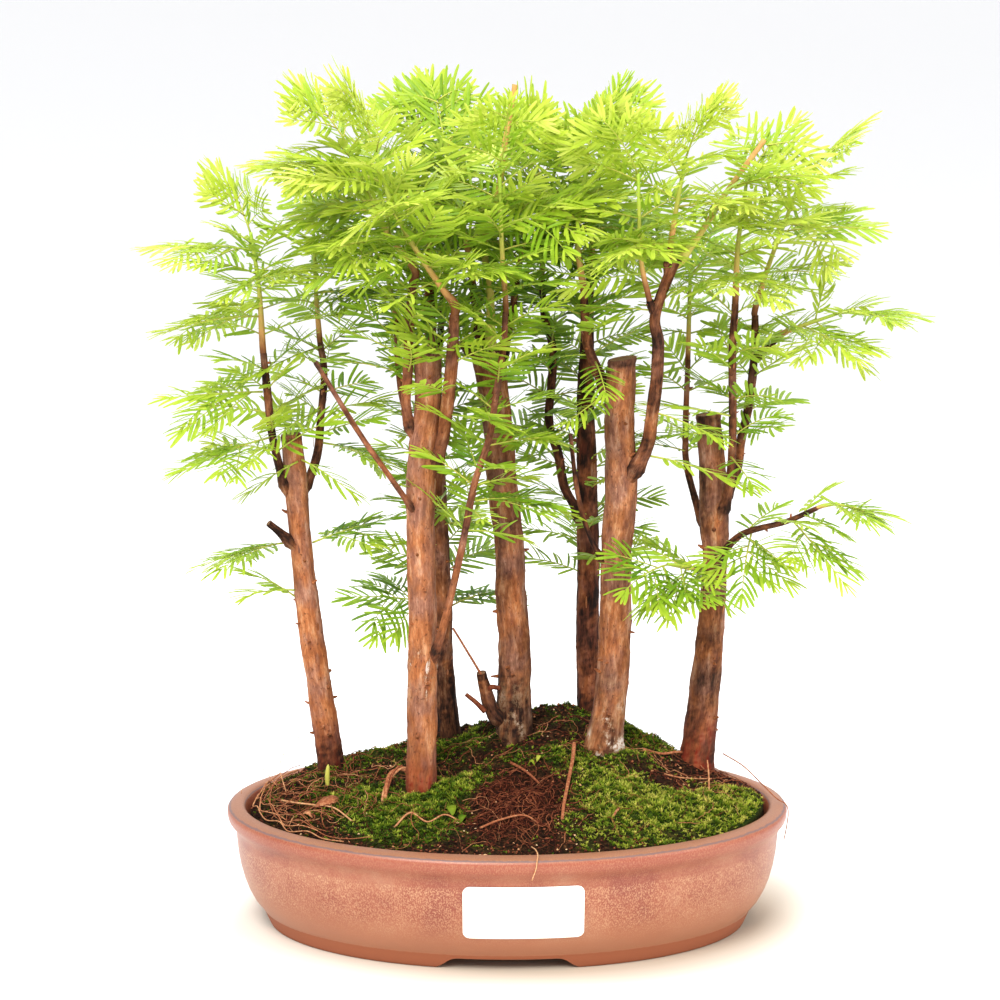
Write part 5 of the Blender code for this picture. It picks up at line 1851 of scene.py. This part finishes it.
class Needles:
    """Flat arching needles, gathered and then made all at once."""

    STATIONS = ((0.0, 0.28), (0.14, 0.82), (0.4, 1.0), (0.74, 0.96), (0.94, 0.66))

    def __init__(self) -> None:
        """Starts with none."""
        self.rows: list[tuple[float, ...]] = []

    def add(
        self, base: Vector, way: Vector, over: Vector, forward: Vector, size: tuple[float, float],
        bend: tuple[float, float], age: float,
    ) -> None:
        """Adds a needle.

        Args:
            base: Where it leaves the rib.
            way: Which way it sets off.
            over: Which way its upper side faces.
            forward: The rib's way, to which it arches.
            size: Its length and width.
            bend: How far its tip swings to the rib's way and how far it droops, as shares of its length.
            age: Its tone, from old to fresh.
        """
        self.rows.append((*base, *way, *over, *forward, *size, *bend, age))

    def shells(self) -> tuple[np.ndarray, np.ndarray, np.ndarray]:
        """Makes the needles.

        Returns:
            Their vertices, faces and tones.
        """
        rows = np.array(self.rows)
        base, way, over, forward = rows[:, 0:3], rows[:, 3:6], rows[:, 6:9], rows[:, 9:12]
        length, width, swing, droop, age = (rows[:, i : i + 1] for i in range(12, 17))
        columns, tones = [], []
        for share, wide in (*self.STATIONS, (1.0, 0.0)):
            middle = base + length * (way * share + forward * swing * share**2)
            middle = middle + length * over * (0.1 * share - (0.1 + droop) * share**2)
            heading = way + forward * (2 * swing * share) + over * (0.1 - 2 * (0.1 + droop) * share)
            across = np.cross(heading, over)
            across /= np.linalg.norm(across, axis=1)[:, None]
            edge = across * width * wide / 2
            crease = over * width * wide * 0.15
            rim = age - 0.1 + 0.13 * share
            columns += [middle - edge, middle - crease, middle + edge] if wide else [middle]
            tones += [rim, age - 0.02, rim] if wide else [age + 0.05]
        count = len(columns)
        points = np.stack(columns, axis=1).reshape(-1, 3)
        tone = np.zeros((len(points), 3))
        tone[:, 0] = np.clip(np.stack(tones, axis=1).reshape(-1), 0.0, 1.0)
        faces = []
        for station in range(len(self.STATIONS) - 1):
            low = 3 * station
            faces += [(low, low + 1, low + 4, low + 3), (low + 1, low + 2, low + 5, low + 4)]
        faces += [(count - 4, count - 3, count - 1, NO_CORNER), (count - 3, count - 2, count - 1, NO_CORNER)]
        pattern = np.array(faces)
        starts = (np.arange(len(rows)) * count)[:, None, None]
        made = np.where(pattern[None] == NO_CORNER, NO_CORNER, pattern[None] + starts)
        return points, made.reshape(-1, 4), tone


@dataclass
class Foliage:
    """One leafy shoot or bark-seated spray of feathers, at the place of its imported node."""

    node: str
    more: int = 5
    needle_length: float = 14.6
    needle_width: float = 1.92
    pitch: float = 3.8
    packed_tip: float = 11.25
    droop: float = 0.16
    missing: float = 0.04
    side_share: float = 0.62
    side_angle: float = 56.0
    side_places: tuple[tuple[int, float], ...] = ((-1, 0.25), (1, 0.35))
    more_places: tuple[tuple[int, float], ...] = ((1, 0.12), (-1, 0.44), (1, 0.52), (-1, 0.64), (1, 0.7))
    turns: tuple[int, ...] = (0, 18, -18, 36, -36, 54, -54, 75, -75, 100, -100, 130, -130, 160)
    needles: Needles = field(default_factory=Needles)
    draft: Draft = field(default_factory=Draft)

    def __post_init__(self) -> None:
        """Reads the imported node's corners, so that each spray can be put where it was packed."""
        corners = [vertex.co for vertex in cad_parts[self.node].data.vertices]
        self.near = KDTree(len(corners))
        for index, corner in enumerate(corners):
            self.near.insert((np.array(corner) - OFFSET) / MM, index)
        self.near.balance()

    def rib_at(self, start: Vector, way: Vector, length: float, share: float) -> tuple[Vector, Vector]:
        """The place and direction at a share of a rib that bows down to its tip."""
        place = start + way * (length * share) - UP * (self.droop * length * share * share)
        return place, (way - UP * (2 * self.droop * share)).normalized()

    @staticmethod
    def age_and_shade_at(place: Vector) -> float:
        """How fresh the needles look: fresher at the top and at the tips, darker towards the back, and darker
        in the middle of the crown, which is painted shade.

        Args:
            place: Where they grow.

        Returns:
            Their tone.
        """
        out = abs(place.x + 4.0) / 205.0
        high = (place.z - 225.0) / 230.0
        back = max(0.0, place.y - 12.0) / 110.0
        # Painted shade: needles in the middle of the crown, where the feathers shade each other, are
        # darkened.
        inner_shade = ((place.x + 4.0) / 95.0) ** 2 + ((place.y - 25.0) / 42.0) ** 2
        inner_shade += ((place.z - 330.0) / 62.0) ** 2
        return 0.43 + 0.26 * high + 0.11 * out - 0.26 * back - 0.3 * math.exp(-inner_shade)

    def add_feather(
        self, start: Vector, way: Vector, face: Vector, length: float, bare: float, draw: random.Random,
        rib: float = 0.55, fresh: float = 0.0,
    ) -> None:
        """Adds a rib with its needles.

        Args:
            start: Where the rib starts.
            way: Which way it sets off.
            face: Which way its flat side faces.
            length: Its length.
            bare: The share of it that has no needles.
            draw: The source of small differences.
            rib: Its radius at the start.
            fresh: How much fresher it is than its place says.
        """
        curve = way.cross(face) * (length * draw.uniform(-0.12, 0.12))
        curve += face * (length * draw.uniform(-0.04, 0.1))

        def at(share: float) -> tuple[Vector, Vector]:
            """The curved rib's place and direction at a share of its length."""
            place, tangent = self.rib_at(start, way, length, share)
            return place + curve * share**2, (tangent + curve * (2 * share / length)).normalized()

        rows = [(*at(step / 6)[0], rib * (1 - 0.62 * step / 6)) for step in range(7)]
        points, faces, _ = sweep(np.array(rows), 5)
        self.draft.add(points, faces, (0.66 + 0.25 * draw.random(), 0.0, 0.0), None, 1)
        pairs = max(4, round(length * (1 - bare) / self.pitch))
        fold = draw.uniform(-0.05, 0.3)
        hang = draw.uniform(-0.04, 0.12)
        age = self.age_and_shade_at(at(0.6)[0]) + fresh + draw.uniform(-0.14, 0.12)
        widest = self.needle_width * draw.uniform(0.88, 1.1)
        for pair in range(pairs):
            grown = (pair + 0.5) / pairs
            for side in (-1, 1):
                if draw.random() < self.missing:
                    continue
                share = bare + (1.0 - bare) * (pair + 0.3 + draw.uniform(-0.14, 0.14)) / pairs
                place, tangent = at(share)
                across = tangent.cross(face).normalized()
                over = across.cross(tangent)
                reach = self.needle_length * (0.6 + 0.48 * math.sin(math.pi * (0.12 + 0.7 * grown)))
                swing = math.radians(66 - 38 * grown**1.4 + draw.uniform(-9, 9))
                turned = tangent * math.cos(swing) + across * (side * math.sin(swing))
                turned = (turned + over * (fold * 0.6 + draw.uniform(-0.13, 0.13))).normalized()
                upper = Matrix.Rotation(side * (0.25 + draw.uniform(-0.4, 0.4)), 3, turned) @ over
                size = (reach * draw.uniform(0.86, 1.1), widest * draw.uniform(0.9, 1.06))
                bend = (draw.uniform(0.0, 0.3), max(-0.12, hang + draw.uniform(-0.08, 0.16)))
                shade = age + 0.16 * grown + draw.uniform(-0.08, 0.08)
                self.needles.add(place, turned, upper, tangent, size, bend, shade)
        place, tangent = at(1.0)
        across = tangent.cross(face).normalized()
        over = across.cross(tangent)
        for swing in (-24, -3, 22):
            angle = math.radians(swing + draw.uniform(-6, 6))
            turned = tangent * math.cos(angle) + across * math.sin(angle) + over * draw.uniform(-0.1, 0.15)
            turned.normalize()
            size = (self.needle_length * draw.uniform(0.55, 0.8), self.needle_width * 0.8)
            self.needles.add(place, turned, over, tangent, size, (0.05, draw.uniform(-0.05, 0.1)), age + 0.22)

    def add_spray(self, start_for: Callable[[Vector], Vector], spray: Spray, seed: str) -> None:
        """Adds a main feather and its side feathers, turned as they were when packed.

        Args:
            start_for: Gives the root's place from the way the spray sets off.
            spray: The spray.
            seed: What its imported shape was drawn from.
        """
        start, way, size = Vector(), Vector(), 0.0
        for turn in self.turns:
            heading, rise = spray.heading + turn, spray.rise + abs(turn) * 0.12
            draw = random.Random(seed)
            roll = draw.uniform(-30, 30)
            size = spray.length * draw.uniform(0.94, 1.04)
            way = direction(heading, rise)
            start = start_for(way)
            tip, tangent = self.rib_at(start, way, size, 1.0)
            if self.near.find(tip + tangent * self.packed_tip)[2] < 0.4:
                break
        else:
            LOG.warning("%s: no packed shape at %s", self.node, seed)
        level = UP if abs(way.z) < 0.8 else direction(spray.heading, 0)
        face = Matrix.Rotation(math.radians(roll), 3, way) @ squared(level, way)
        fresh = random.Random(seed + "_fine")
        self.add_feather(start, way, face, size, 0.12, fresh, 0.6)
        for number, (side, share) in enumerate((*self.side_places, *self.more_places[: self.more])):
            place, tangent = self.rib_at(start, way, size, share)
            if number >= len(self.side_places):
                draw = fresh
            turned = Matrix.Rotation(math.radians(side * self.side_angle), 3, face) @ tangent
            tilt = Matrix.Rotation(math.radians(draw.uniform(-14, 14)), 3, turned)
            length = size * self.side_share * (1.0 if number < len(self.side_places) else 1.05 - 0.8 * share)
            self.add_feather(place, turned, tilt @ face, length, 0.1, fresh, 0.45)

    def add_shoot(self, line: Sequence[Sequence[float]], seed: str, step: float) -> None:
        """Adds a green shoot and the pairs of feathers along it.

        Args:
            line: Its points with their radii.
            seed: What its feathers are drawn from.
            step: How far apart the pairs are.
        """
        foot, after = Vector(line[0][:3]), Vector(line[1][:3])
        sunk = foot - (after - foot).normalized() * 1.6
        rows = smooth_line([(*sunk, line[0][3] * 0.9), *line[1:]], 1.6)
        points, faces, grain = sweep(rows, 10)
        low, high = rows[0, 2], rows[-1, 2]
        tones = np.zeros((len(points), 3))
        tones[:, 0] = np.clip((points[:, 2] - low) / max(1.0, high - low), 0.0, 1.0) ** 0.6
        self.draft.add(points, faces, tones, grain, 1)
        self.add_pairs(line, seed, step, 0.12, 1.0)

    def add_pairs(
        self, line: Sequence[Sequence[float]], seed: str, step: float, low: float, high: float
    ) -> None:
        """Adds pairs of feathers along a line between two shares of its length.

        Args:
            line: Its points with their radii.
            seed: What they are drawn from.
            step: How far apart the pairs are.
            low: The share at which the first may stand.
            high: The share at which the last may stand.
        """
        draw = random.Random(seed + "_pairs")
        places = [Vector(point[:3]) for point in line]
        total = sum((b - a).length for a, b in zip(places, places[1:]))
        count = max(1, int(total * (high - low) / step))
        turn = draw.uniform(0, 360)
        for number in range(count):
            share = low + (high - low) * (number + draw.uniform(0.2, 0.8)) / count
            place, way, radius = along(line, share)
            turn += 90 + draw.uniform(-25, 25)
            for side in (0, 180):
                out = squared(direction(turn + side + draw.uniform(-20, 20), 0), way)
                open_angle = math.radians(80 - 26 * share + draw.uniform(-9, 9))
                set_off = (way * math.cos(open_angle) + out * math.sin(open_angle)).normalized()
                length = (43 - 19 * share) * draw.uniform(0.8, 1.15)
                tilt = Matrix.Rotation(math.radians(draw.uniform(-42, 42)), 3, set_off)
                face = tilt @ upright_face(set_off)
                self.add_feather(place + out * radius * 0.6, set_off, face, length, 0.1, draw, 0.5, 0.03)

    def dress(self) -> None:
        """Makes the piece."""
        points, faces, tones = self.needles.shells()
        self.draft.add(points, faces, tones)
        finishes = [NEEDLE.material(), SHOOT.material()]
        make_piece(self.draft, "fine_" + self.node, finishes, [self.node])


# Bark by tree: dark, bloom and red all over; dark, bloom and red at the foot, and how high the foot's
# tone reaches; dark and red on the limbs; the flare at the soil.
LOOKS = {
    "tree_1": BarkLook(0.1, 0.0, 0.02, 1.0, 0.0, 0.8, 30.0, 0.82, 0.15, 0.05),
    "tree_2": BarkLook(0.22, 0.05, 0.05, 0.1, 0.0, 0.8, 22.0, 0.6, 0.2, -0.04, flaking=(124.0, 156.0, 26)),
    "tree_3": BarkLook(0.55, 0.0, 0.1, 1.0, 0.0, 0.0, 75.0, 0.8, 0.1, 0.2),
    "tree_4": BarkLook(0.46, 0.0, 0.04, 0.75, 0.35, 0.0, 46.0, 0.84, 0.12, 0.1),
    "tree_5": BarkLook(0.86, 0.0, 0.4, 0.3, 0.0, 0.2, 24.0, 0.95, 0.3, 0.1),
    "tree_6": BarkLook(0.32, 0.0, 0.02, 0.3, 0.58, 0.0, 44.0, 0.78, 0.18, 0.16, oblique=0.2),
    # Tree 7's dark is partly its bark's own colour and partly painted shade of the foliage that hangs over
    # it.
    "tree_7": BarkLook(0.62, 0.03, 0.08, 0.0, 0.0, 1.0, 36.0, 0.86, 0.2, 0.14),
}
# Leaves by tree: how far apart pairs are on the shoots and on the wood, where on the wood they
# start, and how many more side feathers a spray has.
LEAFAGE = {
    "tree_1": Leafage(9.0, 11.0, 0.3, 4),
    "tree_2": Leafage(6.3, 10.0, 0.4),
    "tree_3": Leafage(5.6, 9.0, 0.4),
    "tree_4": Leafage(5.8, 9.0, 0.35),
    "tree_5": Leafage(5.6, 9.0, 0.4),
    "tree_6": Leafage(8.0, 11.0, 0.35, 4),
    "tree_7": Leafage(10.0, 13.0, 0.4, 3),
}
# The feathers that hang before the cut trunks: by stem, each with its foot, heading, rise and length.
FRONT_FEATHERS = {
    "stem_1_right": ((-99, 34, 306, 224, -8, 43), (-100, 33, 272, 230, -8, 44),
                     (-111, 14.5, 247, 207, -20, 27), (-109, 15, 248, 335, -20, 30)),
    "stem_1_left": ((-113.5, 21, 172, 194, 38, 34), (-113.5, 20, 176, 200, 10, 27)),
    "stem_6_left": ((46, 8, 301, 278, -12, 36), (52, 6, 284, 242, -8, 38)),
    "stem_7_near": ((117.5, 11, 272, 186, 14, 44), (106, 17, 262, 190, 0, 34), (118, 13, 250, 280, -6, 32)),
    "stem_6_mid": ((74, 0, 252.5, 350, -8, 52), (76, -4, 276, 320, -6, 38)),
    "stem_4_left": ((-3, 22.5, 228, 211, -4, 41), (-2, 22.5, 229, 329, -4, 38)),
    "stem_5_left": ((28, 50, 247.7, 198, -8, 34),),
}


@dataclass
class Forest:
    """The seven trees: their wood, their green shoots and their sprays."""

    mound: Mound
    gap: float = 0.35
    rib_half_width: float = 0.75
    root_depth: float = 1.2

    def shoot_line(self, stem: Stem) -> Line:
        """The green shoot, which goes on from the end of the wood.

        Args:
            stem: The stem.

        Returns:
            The shoot's points with their radii.
        """
        end, way, radius = along(stem.wood, 1.0)
        foot = end + way * self.gap
        return ((*foot, radius), (*(foot + way * 2 * radius), radius), *stem.green)

    def seat(self, tree: BVHTree, place: Vector, way: Vector) -> Vector:
        """Where a spray's foot sits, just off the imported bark.

        Args:
            tree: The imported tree's faces.
            place: A place on the stem's axis.
            way: The way the spray sets off.

        Returns:
            The foot's place.
        """
        hit, normal, _, _ = tree.ray_cast(place + way * 30.0, -way)
        slant = max(0.35, abs(way.dot(normal)))
        return hit + way * ((self.gap + self.rib_half_width * math.sqrt(1 - slant * slant)) / slant)

    def packed_tree(self, name: str) -> BVHTree:
        """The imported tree's faces, in millimetres about the tray's centre.

        Args:
            name: Its node's name.

        Returns:
            The faces, for rays.
        """
        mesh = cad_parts[name].data
        corners = [(np.array(vertex.co) - OFFSET) / MM for vertex in mesh.vertices]
        return BVHTree.FromPolygons(corners, [tuple(face.vertices) for face in mesh.polygons])

    def dress(self) -> None:
        """Makes every tree's pieces."""
        for name, stems in TREES.items():
            x, y, _, _ = stems[0].wood[1]
            Wood(name, stems, LOOKS[name], self.mound.height(x, y)).dress()
            packed = self.packed_tree(name)
            for stem in stems:
                self.dress_stem(stem, packed, LEAFAGE[name])

    def dress_stem(self, stem: Stem, packed: BVHTree, leafage: Leafage) -> None:
        """Makes the foliage of one stem.

        Args:
            stem: The stem.
            packed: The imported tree's faces.
            leafage: How thick its leaves are.
        """
        if stem.green:
            leafy = Foliage("leafy_" + stem.name, leafage.more)
            line = self.shoot_line(stem)
            leafy.add_shoot(line, stem.name, leafage.step)
            leafy.add_pairs(stem.wood, stem.name + "_wood", leafage.wood_step, leafage.wood_from, 1.0)
            for number, spray in enumerate(stem.sprays):
                place, way, _ = along(line, spray.at)
                root = place - way * self.root_depth if spray.at == 1.0 else place
                leafy.add_spray(lambda _, spot=root: spot, spray, f"{stem.name}_{number}")
            for number, (*root, heading, rise, length) in enumerate(FRONT_FEATHERS.get(stem.name, ())):
                way = direction(heading, rise)
                draw = random.Random(f"front_{stem.name}_{number}")
                leafy.add_feather(Vector(root), way, upright_face(way), length, 0.14, draw, 0.6, 0.06)
            leafy.dress()
        for number, spray in enumerate(stem.side_sprays):
            node = f"spray_{stem.name}_{number + 1}"
            place, _, _ = along(stem.wood, spray.at)
            seated = Foliage(node, 3)
            seated.add_spray(lambda way, spot=place: self.seat(packed, spot, way), spray, node)
            seated.dress()


@dataclass
class DrainScreens:
    """The two mesh screens over the drain holes, kept as packed."""

    names: tuple[str, ...] = ("drain_screen_left", "drain_screen_right")

    def dress(self) -> None:
        """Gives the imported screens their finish."""
        finish = SCREEN.material()
        for name in self.names:
            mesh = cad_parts[name].data
            mesh.materials.clear()
            mesh.materials.append(finish)
            LOG.info("%s: keeps its packed mesh", name)


@dataclass
class Studio:
    """The plain pale floor, the soft lights and the camera that stands where the photographer did."""

    lens: float = 86.4
    place: tuple[float, float, float] = (-3.8, -1242.0, 449.0)
    tilt: float = 10.05
    floor_reach: float = 1500.0
    floor_sides: int = 96
    cove: float = 2600.0
    cove_angle: float = 52.0
    cove_steps: int = 24
    sensor: float = 36.0
    view_reach: float = 50.0
    world: float = 0.94

    def add_floor(self) -> None:
        """Lays the round floor, which curves up at its edge like a paper backdrop."""
        profile = [(self.floor_reach * share, 0.0) for share in (0.02, 0.1, 0.3, 0.6, 1.0)]
        for step in range(1, self.cove_steps + 1):
            angle = math.radians(self.cove_angle) * step / self.cove_steps
            radius = self.floor_reach + self.cove * math.sin(angle)
            profile.append((radius, self.cove * (1 - math.cos(angle))))
        sides = self.floor_sides
        rings = [oval(radius, radius, height, sides) for radius, height in profile]
        k = np.arange(sides)
        middle = np.stack(
            [np.full(sides, len(profile) * sides), k, (k + 1) % sides, np.full(sides, NO_CORNER)], axis=-1
        )
        faces = np.vstack([rings_to_faces(len(profile), sides)[:, ::-1], middle])
        mesh = Draft().add(np.vstack([*rings, [(0.0, 0.0, 0.0)]]), faces).mesh("studio_floor")
        mesh.materials.append(BACKGROUND.material())
        floor = bpy.data.objects.new("studio_floor", mesh)
        bpy.context.scene.collection.objects.link(floor)

    def add_light(
        self, name: str, place: tuple[float, float, float], aim: tuple[float, float, float], size: float,
        power: float, colour: str,
    ) -> None:
        """Hangs a soft square light.

        Args:
            name: Its name.
            place: Where it hangs, in millimetres.
            aim: What it points at.
            size: Its side in millimetres.
            power: Its power in watts.
            colour: Its colour.
        """
        data = bpy.data.lights.new(name, "AREA")
        data.shape = "SQUARE"
        data.size = size * MM
        data.energy = power
        data.color = linear(colour)[:3]
        light = bpy.data.objects.new(name, data)
        light.location = Vector(place) * MM + Vector(OFFSET)
        light.rotation_euler = (Vector(aim) - Vector(place)).to_track_quat("-Z", "Y").to_euler()
        bpy.context.scene.collection.objects.link(light)

    def add_camera(self) -> None:
        """Puts the camera level with the photo's."""
        data = bpy.data.cameras.new("camera")
        data.lens = self.lens
        data.sensor_width = self.sensor
        data.clip_end = self.view_reach
        camera = bpy.data.objects.new("camera", data)
        camera.location = Vector(self.place) * MM + Vector(OFFSET)
        camera.rotation_euler = (math.radians(90 - self.tilt), 0.0, 0.0)
        bpy.context.scene.collection.objects.link(camera)
        bpy.context.scene.camera = camera

    def add_world(self) -> None:
        """Fills the room with even, near-white light."""
        world = bpy.data.worlds.new("studio")
        world.use_nodes = True
        add_node(world.node_tree, "Background", "", {"Color": linear("#F8F9FC"), "Strength": self.world}, {})
        bpy.context.scene.world = world

    def dress(self) -> None:
        """Sets up the studio."""
        self.add_floor()
        for light in (
            ("key_front_left", (-360, -980, 1150), (0, 0, 170), 800, 31, "#FFFDF9"),
            ("top_back", (120, 380, 1400), (0, 0, 240), 800, 20, "#FFFFFF"),
            ("fill_right", (950, -600, 650), (0, 0, 180), 600, 8, "#FFFBF4"),
        ):
            self.add_light(*light)
        self.add_camera()
        self.add_world()
        bpy.context.scene.view_settings.view_transform = "Standard"


def main() -> None:
    """Builds every piece in order."""
    logging.basicConfig(level=logging.INFO, format="%(name)s %(message)s")
    for name in ("Cube", "Camera", "Light"):
        if name in bpy.data.objects:
            bpy.data.objects.remove(bpy.data.objects[name])
    tray = Tray()
    feet = [stems[0].wood[1] for stems in TREES.values()]
    mound = Mound(tray, [(x, y, radius) for x, y, _, radius in feet])
    tray.dress()
    Label(tray).dress()
    DrainScreens().dress()
    mound.dress()
    Forest(mound).dress()
    Studio().dress()


if __name__ == "__main__":
    main()
